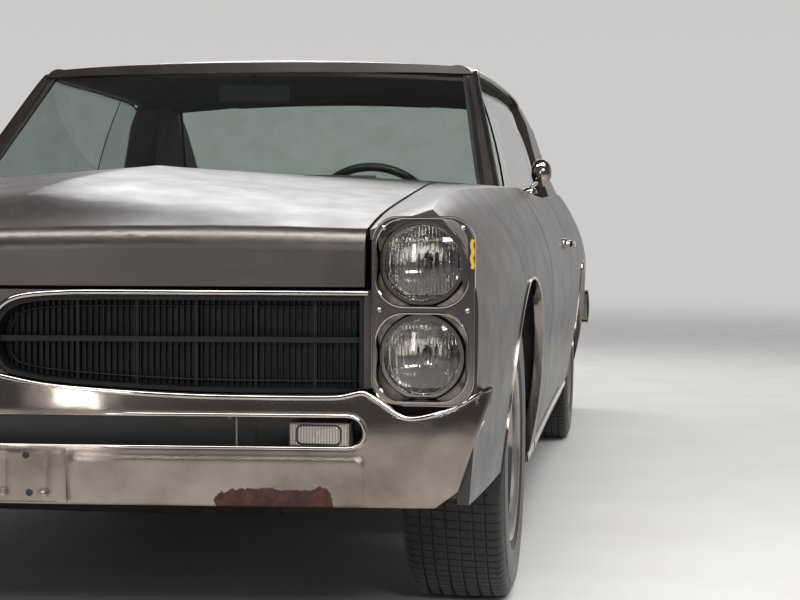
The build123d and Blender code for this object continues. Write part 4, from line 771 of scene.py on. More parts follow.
def edge_in(edge, margin):
    """An open outline in front view moved inward by a margin, as (y, z) points."""
    moved = []
    for i, (y, z) in enumerate(edge):
        y0, z0 = edge[max(i - 1, 0)]
        y1, z1 = edge[min(i + 1, len(edge) - 1)]
        length = math.hypot(y1 - y0, z1 - z0)
        moved.append((y - margin * (z1 - z0) / length, z + margin * (y1 - y0) / length))
    return moved


def read_off(line, y):
    """What goes with one y on a line of (y, value) points, straight between them."""
    for (y0, value0), (y1, value1) in zip(line, line[1:]):
        if min(y0, y1) <= y <= max(y0, y1) and y0 != y1:
            return value0 + (value1 - value0) * (y - y0) / (y1 - y0)
    return line[-1][1]


def on_nose(edge, back):
    """Smooth path over the nose for an outline given in front view."""
    path = smooth_path([(0, y, z) for y, z in edge], 5)
    return [Vector((nose_x(p.y, back), p.y, p.z)) for p in path]


def grille_slats():
    """Upright slats, close together, in front of the grille's back plate."""
    slats = Shape()
    inner = edge_in(GRILLE_EDGE, 0.008)
    upper = [p for p in inner if p[1] > GRILLE_MIDDLE_Z]
    lower = [p for p in inner if p[1] < GRILLE_MIDDLE_Z]
    y = 0.042
    while y < GRILLE_OUTER - 0.012:
        x = nose_x(y, 0.0475)
        slats.block((x, y - SLAT_HALF, read_off(lower, y)),
                    (x + SLAT_DEPTH, y + SLAT_HALF, read_off(upper, y)))
        y += SLAT_PITCH
    slats.mirrored()
    slats.build("grille_slats", GRILLE_ENAMEL, "car_body", "grille_black")


def grille_surround():
    """Thin bright line inside each grille, and the plated strip over its top and round its end."""
    line, strip = Shape(), Shape()
    line.swept(on_nose(edge_in(GRILLE_EDGE, 0.021), 0.036), half_round(0.0032, 0.0018),
               NOSE_FACING)
    line.mirrored()
    line.build("grille_inner_line", GRILLE_ENAMEL, "car_body", "steel")
    over = edge_in(GRILLE_EDGE[:9], -0.0045)
    over[0] = (0.697, over[0][1])
    strip.swept(on_nose(over, -0.0005), half_round(0.0105, 0.006), NOSE_FACING)
    strip.mirrored()
    strip.build("grille_top_strip", TRIM_PLATE, "car_body", "chrome")


# Front bumper

SLOT_END, SLOT_HALF = (0.667, 0.478), 0.0295
BOW, BOW_MIDDLE, BOW_HALF = 0.016, 0.462, 0.158
PLATE_X, PLATE_SWEEP = 2.6285, 0.085
PLATE_HALF, PLATE_LOW, PLATE_HIGH = 0.160, 0.346, 0.447
PLATE_GROOVES, PLATE_MIDDLE_Z = (-0.122, -0.047, 0.047, 0.122), 0.399


def plan_x(y):
    """Where the middle of the bumper's face stands at one y."""
    return read_off(BUMPER_PLAN, abs(y))


def bow(z):
    """How far the bumper's bowed face falls back from its middle, at one height."""
    return BOW * ((z - BOW_MIDDLE) / BOW_HALF) ** 2


def bumper_lips():
    """Rolled edges that stand proud round the bumper's top and round its slot."""
    lip = Shape()
    edge = smooth_path([(0, y, z) for y, z in BUMPER_EDGE], 5)
    path = [Vector((plan_x(p.y) - bow(p.z) - 0.0025, p.y, p.z - 0.003)) for p in edge]
    lip.swept(path, round_section(0.0052, 10), (1, 0, 0))
    straight, (end_y, middle_z), half = (0.0, 0.15, 0.3, 0.45, 0.6), SLOT_END, SLOT_HALF
    around = [(y, middle_z + half) for y in straight]
    around += [(end_y + half * math.sin(math.pi * i / 10),
                middle_z + half * math.cos(math.pi * i / 10)) for i in range(11)]
    around += [(y, middle_z - half) for y in reversed(straight)]
    path = [Vector((plan_x(y) - bow(z) - 0.0022, y, z)) for y, z in around]
    lip.swept(path, round_section(0.0036, 8), (1, 0, 0))
    lip.mirrored()
    lip.build("bumper_rolled_edges", TRIM_PLATE, "car_body", "chrome", sharp=math.radians(60))


def plate_bracket():
    """Pressed plate carrier in the middle of the bumper, blank, with two long grooves, and dark
    discs at its bolt holes that are painted shade: the dark of the open holes.
    """
    carrier, hole_shades = Shape(), Shape()
    half, low, high = PLATE_HALF, PLATE_LOW, PLATE_HIGH
    columns, rows = 161, 52
    points = []
    for i in range(columns):
        y = -half + 2 * half * i / (columns - 1)
        for j in range(rows):
            z = low + (high - low) * j / (rows - 1)
            groove = 0.0
            for centre in PLATE_GROOVES:
                reach = math.hypot(max(abs(z - PLATE_MIDDLE_Z) - 0.030, 0.0), y - centre)
                groove = max(groove, 0.5 - 0.5 * math.tanh((reach - 0.0055) * 900))
            rim = min(1.0, (half - abs(y)) / 0.006, (z - low) / 0.006, (high - z) / 0.006)
            x = PLATE_X - PLATE_SWEEP * abs(y) - 0.0045 * groove - 0.004 * (1 - max(rim, 0.0)) ** 2
            points.append((x, y, z))
    carrier.sheet(points, [(x - 0.008, y, z) for x, y, z in points], columns, rows)
    carrier.build("plate_carrier", BUMPER_PLATE, "car_body", "chrome", sharp=math.radians(60))
    # Painted shade: dark discs stand for the open bolt holes
    for y, z in ((0.088, 0.432), (-0.088, 0.432), (0.094, 0.364), (-0.094, 0.364)):
        x = PLATE_X - PLATE_SWEEP * abs(y)
        hole_shades.turned([(0.0, -0.004), (0.0062, -0.004), (0.0068, 0.0), (0.0060, 0.0018),
                      (0.0, 0.0026)], (x, y, z), (1, 0, 0), 20, False)
    hole_shades.build("plate_carrier_hole_shades", RUBBER_SEAL, "car_body", "grille_black")


bumper_lips()
plate_bracket()
grille_slats()
grille_surround()


# Seats

PLEAT_PITCH = 0.047
PLEAT_DEPTH = 0.0055
SEAT_VOXEL = 0.012
SWELL_LIMIT = 0.014
SWELL_FRAMES = 20
SEAM_DROP = 0.022                    # how far the piped seam lies below a cushion's top
SEAT_BORDER = 0.075                  # plain margin at each side of the pleated panel


def cushion_outline(length, width, corner, pull, inset):
    """Outline of a cushion seen from above: round corners, sides drawn in between them."""
    half_l, half_w = length / 2 - inset, width / 2 - inset
    radius = max(corner - inset, 0.01)
    points = []
    for turn in range(4):
        spans = (half_l, half_w) if turn % 2 == 0 else (half_w, half_l)
        reach = spans[1] - radius
        for i in range(14):
            share = -1 + 2 * i / 14
            points.append((turn, spans[0] - pull * (1 - share * share), share * reach))
        for i in range(7):
            angle = math.pi / 2 * i / 7
            points.append((turn, spans[0] - radius + radius * math.cos(angle),
                           reach + radius * math.sin(angle)))
    ways = ((1, 0, 0, 1), (0, -1, 1, 0), (-1, 0, 0, -1), (0, 1, -1, 0))
    return [(ways[t][0] * a + ways[t][1] * b, ways[t][2] * a + ways[t][3] * b)
            for t, a, b in points]


def cushion_form(length, width, thick, corner, pull):
    """Closed block of padding from its flat underside, over its seam, to its crowned top."""
    middle = min(length, width) / 2 - 0.02
    levels = [(middle, 0.0), (0.030, 0.0), (0.012, 0.002), (0.004, 0.010), (0.0, 0.026),
              (-0.004, thick * 0.5), (0.0, thick - 0.026), (0.002, thick - 0.016),
              (0.014, thick - 0.006), (0.040, thick), (0.090, thick + 0.004),
              (middle, thick + 0.007)]
    vertices = []
    for inset, height in levels:
        vertices += [(x, y, height) for x, y in cushion_outline(length, width, corner, pull, inset)]
    size = len(vertices) // len(levels)
    faces = grid_faces(len(levels), size, False, True)
    faces.append(tuple(reversed(range(size))))
    faces.append(tuple(range(size * (len(levels) - 1), size * len(levels))))
    return vertices, faces


def sewn_at(y, width, border):
    """Distance from the nearest sewn channel, for a point across the seat's middle panel."""
    inner = width / 2 - border
    if abs(y) > inner + 0.012:
        return 1.0
    return min(abs(y - round(y / PLEAT_PITCH) * PLEAT_PITCH), abs(abs(y) - inner))


def swollen(mesh, sewn):
    """Blows the padding up under its cover, with the sewn lines held, and keeps the rise small."""
    thing = new_object("padding", mesh)
    group = thing.vertex_groups.new(name="sewn")
    group.add([v.index for v in mesh.vertices if sewn(v.co)], 1.0, "REPLACE")
    cloth = thing.modifiers.new("cover", "CLOTH")
    cloth.settings.quality = 4
    cloth.settings.use_pressure = True
    cloth.settings.uniform_pressure_force = 4.0
    cloth.settings.vertex_group_mass = "sewn"
    cloth.settings.effector_weights.gravity = 0.0
    cloth.point_cache.frame_start, cloth.point_cache.frame_end = 1, SWELL_FRAMES
    scene = bpy.context.scene
    for number in range(1, SWELL_FRAMES + 1):
        scene.frame_set(number)
    graph = bpy.context.evaluated_depsgraph_get()
    risen = [v.co.copy() for v in thing.evaluated_get(graph).data.vertices]
    scene.frame_set(1)
    bpy.data.objects.remove(thing)
    for vertex, place in zip(mesh.vertices, risen):
        move = place - vertex.co
        vertex.co += move * min(1.0, SWELL_LIMIT / max(move.length, 1e-9))
    return mesh


def finer(mesh, modifier, **settings):
    """The mesh after one modifier."""
    thing = new_object("passing", mesh)
    added = thing.modifiers.new("passing", modifier)
    for name, value in settings.items():
        setattr(added, name, value)
    graph = bpy.context.evaluated_depsgraph_get()
    result = bpy.data.meshes.new_from_object(thing.evaluated_get(graph))
    bpy.data.objects.remove(thing)
    return result


def upholstery(length, width, thick, corner, pull, border):
    """One stuffed cushion with pleats sewn fore and aft in its middle panel."""
    vertices, faces = cushion_form(length, width, thick, corner, pull)
    rough = bpy.data.meshes.new("rough")
    rough.from_pydata(vertices, [], faces)
    mesh = finer(rough, "REMESH", mode="VOXEL", voxel_size=SEAT_VOXEL)

    def sewn(co):
        on_top = co.z > thick - 0.012 and abs(co.x) < length / 2 - 0.05
        seam = abs(co.z - (thick - SEAM_DROP)) < 0.008
        return co.z < 0.004 or seam or (on_top and sewn_at(co.y, width, border) < 0.006)

    mesh = swollen(mesh, sewn)
    mesh = finer(mesh, "SUBSURF", levels=1, render_levels=1)
    for vertex in mesh.vertices:
        x, y, z = vertex.co
        if z > thick - 0.014:
            near = sewn_at(y, width, border)
            fade = min(1.0, max(0.0, (length / 2 - 0.045 - abs(x)) / 0.02))
            vertex.co.z -= PLEAT_DEPTH * fade * math.exp(-(near / 0.0042) ** 2)
            if near < 1.0:
                vertex.co.z += 0.0030 * fade * (0.5 - 0.5 * math.cos(2 * math.pi * y / PLEAT_PITCH))
    return mesh


def seat_piece(name, mesh, place, mirror):
    """Puts a cushion, and its twin for the other seat, where it belongs."""
    shape = Shape()
    shape.take([place @ v.co for v in mesh.vertices], [tuple(p.vertices) for p in mesh.polygons])
    if mirror:
        shape.mirrored()
    built = shape.build(name, SEAT_VINYL, "car_body", "vinyl", sharp=math.radians(60))
    return built


def piping(shape, length, width, thick, corner, pull, place):
    """Cord sewn into the seam round the top of a cushion."""
    outline = cushion_outline(length, width, corner, pull, -0.0015)
    path = [place @ Vector((x, y, thick - SEAM_DROP)) for x, y in outline]
    centre = place @ Vector((0, 0, thick - SEAM_DROP))
    shape.swept(path, round_section(0.0042, 8), lambda i: path[i] - centre, closed=True)


# Length, width, thickness, corner radius and how far the sides are drawn in, in metres
SEAT_CUSHION = (0.490, 0.470, 0.140, 0.065, 0.010)
SEAT_BACK = (0.505, 0.470, 0.100, 0.085, 0.012)
BENCH_CUSHION = (0.430, 1.140, 0.072, 0.060, 0.008)
BENCH_BACK = (0.300, 1.140, 0.105, 0.050, 0.006)


def standing(x, y, z, lean):
    """Place of a seat back: its length stands up, its padded side looks forward."""
    turn = Matrix.Rotation(math.radians(-lean), 4, "Y")
    upright = Matrix(((0, 0, 1, 0), (0, -1, 0, 0), (1, 0, 0, 0), (0, 0, 0, 1)))
    return Matrix.Translation((x, y, z)) @ turn @ upright


def seats():
    """Both front seats and the rear bench: cushions, backs and their piping."""
    places = {
        "front": (Matrix.Translation((0.060, 0.400, 0.312)),
                  standing(-0.284, 0.400, 0.700, 14) @ Matrix.Translation((0, 0, -0.055))),
        "rear": (Matrix.Translation((-0.790, 0, 0.537)), standing(-1.036, 0, 0.772, 0)),
    }
    piping_front, piping_rear = Shape(), Shape()
    for where, sizes, cord in (("front", (SEAT_CUSHION, SEAT_BACK), piping_front),
                               ("rear", (BENCH_CUSHION, BENCH_BACK), piping_rear)):
        for part, size, place in zip(("cushion", "back"), sizes, places[where]):
            mesh = upholstery(*size, SEAT_BORDER)
            seat_piece(f"{where}_seat_{part}", mesh, place, where == "front")
            piping(cord, *size, place)
    piping_front.mirrored()
    piping_front.build("front_seat_piping", SEAT_VINYL, "car_body", "vinyl")
    piping_rear.build("rear_seat_piping", SEAT_VINYL, "car_body", "vinyl")
    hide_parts("front_seats")
    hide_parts("rear_seat")


seats()


# Body trim

HOOD_PEAK = 0.030
# What a spot on a frame node's skin is looked up in, made once for each node
SURFACES = {}


def landed(node_name, origin, direction):
    """Where a straight line first meets one frame node."""
    mesh = nodes[node_name].data
    if node_name not in SURFACES:
        SURFACES[node_name] = BVHTree.FromPolygons([v.co for v in mesh.vertices],
                                                   [tuple(p.vertices) for p in mesh.polygons])
    return SURFACES[node_name].ray_cast(Vector(origin), Vector(direction).normalized())[0]


def landed_along(node_name, starts, direction):
    """Where parallel lines meet one frame node, without those that miss it."""
    spots = [landed(node_name, start, direction) for start in starts]
    return [spot for spot in spots if spot]


def eased(value):
    """0 to 1 without a corner at either end."""
    value = min(1.0, max(0.0, value))
    return value * value * (3 - 2 * value)


def peaked_hood():
    """The hood with the low peak that runs down its middle and dies out above the grille."""
    source = nodes["hood"].data
    fine = finer(source.copy(), "TRIANGULATE")
    mesh = bmesh.new()
    mesh.from_mesh(fine)
    cuts = [((0, -0.60 + 0.05 * i, 0), (0, 1, 0)) for i in range(25)]
    cuts += [((1.25 + 0.06 * i, 0, 0), (1, 0, 0)) for i in range(23)]
    for point, way in cuts:
        bmesh.ops.bisect_plane(mesh, geom=mesh.verts[:] + mesh.edges[:] + mesh.faces[:],
                               plane_co=point, plane_no=way)
    for vertex in mesh.verts:
        x, y = vertex.co.xy
        along = eased((x - 1.20) / 0.35) * eased((2.575 - x) / 0.22)
        across = max(0.0, 1 - abs(y) / 0.62)
        vertex.co.z += HOOD_PEAK * along * (0.82 * across + 0.18 * across ** 6)
    mesh.to_mesh(fine)
    mesh.free()
    shape = Shape()
    shape.take([v.co for v in fine.vertices], [tuple(p.vertices) for p in fine.polygons])
    built = shape.build("hood_panel", LACQUER, "hood", "body_paint", sharp=math.radians(24))
    built.data.materials.append(UNDERSEAL)
    for polygon in built.data.polygons:
        polygon.material_index = 1 if faces_inward(polygon) else 0
    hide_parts("hood")


def loop_path(centre, width, height, radius, x):
    """Rounded rectangle in front view as a closed path."""
    points = []
    for turn in range(4):
        corner_y = centre[0] + (width / 2 - radius) * (1, -1, -1, 1)[turn]
        corner_z = centre[1] + (height / 2 - radius) * (1, 1, -1, -1)[turn]
        for i in range(9):
            angle = math.pi / 2 * (turn + i / 8)
            points.append(Vector((x, corner_y + radius * math.cos(angle),
                                  corner_z + radius * math.sin(angle))))
    return points


def bezel_beads():
    """Rolled beads round the lamp pockets and the bezel's edge, and black rings at the lamp rings
    that are painted shade: the shadow gap round each ring.
    """
    beads, shadow_rings = Shape(), Shape()
    for z in LAMP_HEIGHTS:
        beads.swept(loop_path((0.796, z + 0.001), 0.168, 0.159, 0.052, BEZEL_FACE_X),
                    round_section(0.0019, 8), (1, 0, 0), closed=True)
        # Painted shade: a black ring in the shadow gap round each lamp ring
        shadow_rings.turned([(0.0772, 0.0), (0.0772, 0.0040), (0.0790, 0.0052), (0.0806, 0.0040),
                        (0.0806, 0.0)], (2.4852, LAMP_Y, z), (1, 0, 0), 64)
    beads.swept(loop_path((0.798, 0.696), 0.1835, 0.3375, 0.0458, BEZEL_FACE_X - 0.0005),
                round_section(0.0016, 8), (1, 0, 0), closed=True)
    for y, z in ((0.7195, 0.6975), (0.8785, 0.6975), (0.7270, 0.8450), (0.8700, 0.8450)):
        beads.turned([(0.0, 0.0), (0.0042, 0.0), (0.0040, 0.0012), (0.0028, 0.0022), (0.0, 0.0025)],
                     (BEZEL_FACE_X, y, z), (1, 0, 0), 18, False)
    beads.mirrored()
    shadow_rings.mirrored()
    beads.build("bezel_beads", TRIM_PLATE, "car_body", "chrome")
    shadow_rings.build("lamp_shadow_rings", RUBBER_SEAL, "car_body", "grille_black")


def masking_tape():
    """Short strip of yellow tape stuck along the upper edge of the left bezel."""
    strip = Shape()
    path = [Vector((BEZEL_FACE_X + 0.0012, 0.8865 + 0.0016 * math.sin(i * 1.7),
                    0.773 + 0.052 * i / 8)) for i in range(9)]
    strip.swept(path, flat_section(0.0030, 0, 0.0004), (1, 0, 0))
    strip.build("bezel_tape", MASKING_TAPE, "car_body", "parking_lens")


def arc_between(side, middle_x):
    """Level arc from the car's left to its right, past a point on the middle line; in metres."""
    side_x, side_y = side
    rise = middle_x - side_x
    radius = (side_y ** 2 + rise ** 2) / (2 * rise)
    reach = math.asin(side_y / abs(radius))
    return [(middle_x - radius + radius * math.cos(angle), abs(radius) * math.sin(angle))
            for angle in [reach * (1 - 2 * i / 24) for i in range(25)]]


def pane_border(foot, head, foot_z, head_z):
    """Path round a curved pane, from its lower left corner."""
    low = [Vector((x, y, foot_z)) for x, y in arc_between(*foot)]
    high = [Vector((x, y, head_z)) for x, y in arc_between(*head)]
    path = low + [low[-1].lerp(high[-1], i / 8) for i in range(1, 8)]
    return path + high[::-1] + [high[0].lerp(low[0], i / 8) for i in range(1, 8)]


def window_trim():
    """Bright mouldings and black rubber round the windshield and the back glass."""
    bright, rubber = Shape(), Shape()
    front = pane_border(((0.905, 0.745), 1.112), ((0.497, 0.655), 0.592), 0.959, 1.327)
    ways = [Vector((0.58, 0.45 * p.y / 0.7, 0.81)).normalized() for p in front]
    front = [p + 0.001 * way for p, way in zip(front, ways)]
    middle = sum(front, Vector()) / len(front)
    inner = [p + (middle - p).normalized() * 0.011 for p in front]
    bright.swept(front, half_round(0.015, 0.0042), lambda i: ways[i], closed=True)
    rubber.swept(inner, half_round(0.014, 0.0022), lambda i: ways[i], closed=True)
    back = pane_border(((-1.125, 0.690), -1.090), ((-0.752, 0.612), -0.725), 0.968, 1.330)
    back = [p + Vector((-0.011, 0, 0.002)) for p in back]
    bright.swept(back, half_round(0.014, 0.004), (-0.70, 0, 0.71), closed=True)
    bright.build("window_mouldings", TRIM_PLATE, "car_body", "chrome", sharp=math.radians(60))
    rubber.build("windshield_rubber", RUBBER_SEAL, "car_body", "grille_black")


def drip_mouldings():
    """Rain gutter mouldings up each pillar and along the roof's rails."""
    strip = Shape()
    points = [(0.900, 0.7835, 0.958), (0.700, 0.7310, 1.143), (0.516, 0.6820, 1.312),
              (0.450, 0.6868, 1.3185), (0.268, 0.7045, 1.3185), (-0.150, 0.7185, 1.3185),
              (-0.470, 0.7245, 1.3130), (-0.556, 0.7270, 1.2960)]
    path = smooth_path(points, 6)
    strip.swept(path, [(-0.0045, -0.002), (-0.0045, 0.005), (-0.002, 0.0078), (0.002, 0.0078),
                       (0.0045, 0.005), (0.0045, -0.002)], (0, 1, 0.12))
    strip.mirrored()
    strip.build("drip_mouldings", TRIM_PLATE, "car_body", "chrome", sharp=math.radians(60))


def belt_and_handle(side, sign):
    """Bright belt strip, handle and lock of one door."""
    strip, handle = Shape(), Shape()
    name = "door_" + side
    starts = [(-0.272 + 1.085 * i / 14, sign * 0.8165, 1.2) for i in range(15)]
    strip.swept(landed_along(name, starts, (0, 0, -1)), half_round(0.011, 0.0045), (0, 0, 1))
    strip.build("belt_strip_" + side, TRIM_PLATE, name, "chrome", sharp=math.radians(60))
    spots = [(-0.205, 0.800), (-0.060, 0.801)]
    ends = [landed(name, (x, sign * 1.2, z), (0, -sign, 0)) for x, z in spots]
    out = Vector((0, sign, 0))
    for end in ends:
        handle.turned([(0.0, -0.002), (0.019, -0.002), (0.0185, 0.002), (0.013, 0.008),
                       (0.011, 0.024), (0.0, 0.026)], end, out, 24, False)
    grip = smooth_path([ends[0] + out * 0.024 + Vector((-0.012, 0, 0)), ends[0] + out * 0.0285,
                        ends[0].lerp(ends[1], 0.5) + out * 0.031, ends[1] + out * 0.0285,
                        ends[1] + out * 0.024 + Vector((0.016, 0, 0))], 6)
    handle.swept(grip, oval_section(0.011, 0.0055, 14), out)
    handle.turned([(0.0, 0.004), (0.0105, 0.004), (0.0105, 0.0085), (0.0085, 0.0100),
                   (0.0, 0.0100)], ends[1] + out * 0.026, out, 20, False)
    handle.build("door_handle_" + side, TRIM_PLATE, name, "chrome")


def sill_mouldings():
    """Bright strips low on the sills between the wheel openings."""
    strip = Shape()
    for rear, front, name in ((-0.835, 1.000, "quarter_panels"), (1.035, 1.262, "front_fenders")):
        starts = [(rear + (front - rear) * i / 11, 1.2, 0.262) for i in range(12)]
        strip.swept(landed_along(name, starts, (0, -1, 0)), half_round(0.030, 0.0035), (0, 1, 0))
    strip.mirrored()
    strip.build("sill_mouldings", TRIM_PLATE, "car_body", "chrome", sharp=math.radians(60))


PARKING_FACE_X, PARKING_BACK_X = 2.5545, 2.507


def parking_lamp_faces():
    """Parking lamps in the bumper's slot: a moulded body, a gasket line and a plain lens."""
    body, gasket = Shape(), Shape()
    columns, rows = 89, 37
    low_y, high_y, low_z, high_z = 0.5585, 0.6675, 0.4505, 0.4935
    middle_y, middle_z = (low_y + high_y) / 2, (low_z + high_z) / 2
    points = []
    for i in range(columns):
        y = low_y + (high_y - low_y) * i / (columns - 1)
        for j in range(rows):
            z = low_z + (high_z - low_z) * j / (rows - 1)
            dy, dz = abs(y - middle_y) - 0.030, abs(z - middle_z) - 0.0075
            reach = math.hypot(max(dy, 0), max(dz, 0)) + min(max(dy, dz), 0) - 0.0085
            lens_rise = 0.0022 * eased((0.001 - reach) / 0.003)
            groove = 0.0028 * math.exp(-((reach - 0.0022) / 0.0013) ** 2)
            bulb = 0.0016 * math.exp(-((y - middle_y) ** 2 + (z - middle_z) ** 2) / 0.0055 ** 2)
            edge = min(y - low_y, high_y - y, z - low_z, high_z - z)
            x = PARKING_FACE_X + lens_rise - groove + bulb - 0.004 * (1 - eased(edge / 0.003))
            points.append((x, y, z))
    body.sheet(points, [(PARKING_BACK_X, y, z) for _, y, z in points], columns, rows)
    gasket.swept(loop_path((middle_y, middle_z), 0.0795, 0.0355, 0.0105, PARKING_FACE_X - 0.0005),
                 round_section(0.0011, 6), (1, 0, 0), closed=True)
    body.mirrored()
    gasket.mirrored()
    front = body.build("parking_lamp_bodies", PARKING_LENS, "car_body", "parking_lens",
                       sharp=math.radians(50))
    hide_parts("parking_lamps")
    gasket.build("parking_lamp_gaskets", RUBBER_SEAL, "car_body", "grille_black")


def slot_stays():
    """Thin upright stays behind the bumper's slot, each with its screw."""
    stays = Shape()
    for y in (0.465, -0.465):
        x = plan_x(y) - 0.014
        stays.swept([Vector((x, y, z)) for z in (0.447, 0.470, 0.490, 0.509)],
                    round_section(0.0021, 8), (1, 0, 0))
        stays.turned([(0.0, 0.0), (0.0055, 0.0), (0.0050, 0.0025), (0.0, 0.0035)],
                     (x + 0.010, y - 0.012, 0.5045), (0.5, 0, -1), 16, False)
    stays.build("slot_stays", PIPE_STEEL, "car_body", "steel")


def washer_jets():
    """Two windshield washer jets behind the hood."""
    jets = Shape()
    for y in (0.235, -0.235):
        foot = landed("firewall", (1.084, y, 1.2), (0, 0, -1)) or Vector((1.084, y, 0.955))
        jets.turned([(0.0, -0.001), (0.011, -0.001), (0.0105, 0.003), (0.0075, 0.008),
                     (0.0070, 0.014), (0.0, 0.016)], foot, (0, 0, 1), 20, False)
    jets.build("washer_jets", TRIM_PLATE, "car_body", "chrome")


def door_mirror():
    """Small oval mirror on its stalk at the left door: plated shell and glass."""
    shell, glass = Shape(), Shape()
    centre = Vector((0.700, 0.894, 1.012))
    wide, tall = 0.030, 0.040
    profile = [(0.05, 0.017), (0.35, 0.0162), (0.62, 0.0135), (0.84, 0.0075), (0.97, -0.002),
               (1.0, -0.010), (0.985, -0.0165), (0.93, -0.0165), (0.92, -0.0125), (0.05, -0.0120)]
    steps = 40

    def oval_ring(shape, outline):
        """An oval ring from (share of the radius, along) points."""
        points = []
        for i in range(steps):
            angle = 2 * math.pi * i / steps
            for radius, along in outline:
                points.append(centre + Vector((along, wide * radius * math.cos(angle),
                                               tall * radius * math.sin(angle))))
        shape.take(points, grid_faces(steps, len(outline), True, True))

    oval_ring(shell, profile)
    shell.turned([(0.0, -0.006), (0.021, -0.006), (0.021, 0.000), (0.018, 0.006), (0.012, 0.010),
                  (0.0, 0.011)], (0.700, 0.862, 0.958), (0, 0, 1), 28, False)
    stalk = smooth_path([(0.700, 0.864, 0.964), (0.700, 0.872, 0.976), (0.699, 0.888, 0.988)], 5)
    shell.swept(stalk, round_section(0.0065, 12), (1, 0, 0))
    built = shell.build("mirror_shell", TRIM_PLATE, "door_left", "chrome", sharp=math.radians(50))
    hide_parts("door_mirror_left")
    oval_ring(glass, [(0.04, -0.0128), (0.5, -0.0130), (0.9, -0.0138), (0.9, -0.0122),
                      (0.04, -0.0118)])
    glass.build("mirror_glass", SILVERED_BOWL, "door_left", "chrome")


# Tail

TAIL_WINDOW_Y = (0.330, 0.850)
TAIL_WINDOW_HEIGHTS = ((0.706, 0.752), (0.648, 0.694))
TAIL_FRAME_X = -2.5638
TAIL_RIBS = 7


def tail_trim():
    """Tail lamp frames and ribs, the returns that close the bumper's ends, and the trunk's lock."""
    frames, returns, lock = Shape(), Shape(), Shape()
    y0, y1 = TAIL_WINDOW_Y
    for z0, z1 in TAIL_WINDOW_HEIGHTS:
        border = loop_path(((y0 + y1) / 2, (z0 + z1) / 2), y1 - y0, z1 - z0, 0.006, TAIL_FRAME_X)
        frames.swept(border, half_round(0.0065, 0.0032), (-1, 0, 0), closed=True)
        for i in range(1, TAIL_RIBS + 1):
            y = y0 + (y1 - y0) * i / (TAIL_RIBS + 1)
            frames.block((-2.5655, y - 0.0012, z0 + 0.003), (-2.5625, y + 0.0012, z1 - 0.003))
    frames.mirrored()
    frames.build("tail_lamp_frames", TRIM_PLATE, "car_body", "chrome")
    returns.block((-2.4540, 0.880, 0.418), (-2.4500, 0.9305, 0.546))
    returns.mirrored()
    soften(returns.build("rear_bumper_returns", TRIM_PLATE, "car_body", "chrome"), 0.0015)
    spot = landed("trunk_lid", (-3.0, 0.0, 0.835), (1, 0, 0))
    lock.turned([(0.0, -0.001), (0.024, -0.001), (0.0235, 0.003), (0.017, 0.0065), (0.0135, 0.0065),
                 (0.0125, 0.0045), (0.0, 0.0045)], spot, (-1, 0, 0), 32, False)
    lock.build("trunk_lock", TRIM_PLATE, "trunk_lid", "chrome")


# Cabin fittings

def instruments():
    """Three round gauges with blank faces in front of the driver, a radio panel and its knobs."""
    rims, dials, needles = Shape(), Shape(), Shape()
    facing = Vector((-1, 0, 0.16)).normalized()
    for y, radius in ((0.262, 0.046), (0.372, 0.052), (0.486, 0.046)):
        spot = Vector((0.7135, y, 0.852))
        rims.turned([(radius, -0.006), (radius + 0.006, -0.006), (radius + 0.007, 0.006),
                     (radius + 0.003, 0.0105), (radius, 0.008)], spot, facing, 48)
        dials.turned([(0.0, -0.002), (radius, -0.002), (radius, 0.0005), (radius * 0.9, 0.001),
                      (0.0, 0.001)], spot, facing, 48, False)
        for tick in range(11):
            angle = math.radians(-130 + 26 * tick)
            ray = Vector((0, math.sin(angle), math.cos(angle)))
            needles.swept([spot + facing * 0.0018 + ray * radius * 0.78,
                           spot + facing * 0.0018 + ray * radius * 0.93],
                          flat_section(0.0007, 0, 0.0006), facing)
        ray = Vector((0, math.sin(math.radians(-122)), math.cos(math.radians(-122))))
        needles.swept([spot + facing * 0.003 - ray * 0.008,
                       spot + facing * 0.003 + ray * radius * 0.8],
                      flat_section(0.0009, 0, 0.0009), facing)
    for y in (-0.075, 0.075, 0.150, 0.185):
        rims.turned([(0.0, -0.004), (0.0115, -0.004), (0.0115, 0.012), (0.0095, 0.016),
                     (0.0, 0.0165)], (0.716, y, 0.838 if abs(y) < 0.1 else 0.800), facing, 20,
                    False)
    rims.build("gauge_rims", TRIM_PLATE, "car_body", "chrome")
    dials.build("gauge_dials", MOULDED_PLASTIC, "car_body", "dark_plastic")
    needles.build("gauge_needles", PLATE_ENAMEL, "car_body", "chrome")
    panel = Shape()
    panel.block((0.7085, -0.105, 0.812), (0.7240, 0.105, 0.866))
    soften(panel.build("radio_panel", TRIM_PLATE, "car_body", "chrome"), 0.002)


def dash_pad():
    """Moulded roll along the dashboard's upper edge, and the glove box door."""
    roll, door = Shape(), Shape()
    path = [Vector((0.742, -0.742 + 1.484 * i / 30, 0.9075)) for i in range(31)]
    roll.swept(path, oval_section(0.030, 0.0135, 18), (0.15, 0, 1))
    roll.build("dash_roll", SEAT_VINYL, "car_body", "vinyl", sharp=math.radians(60))
    door.block((0.7165, -0.610, 0.792), (0.7260, -0.250, 0.878))
    soften(door.build("glove_box_door", MOULDED_PLASTIC, "car_body", "dark_plastic"), 0.004, 3)


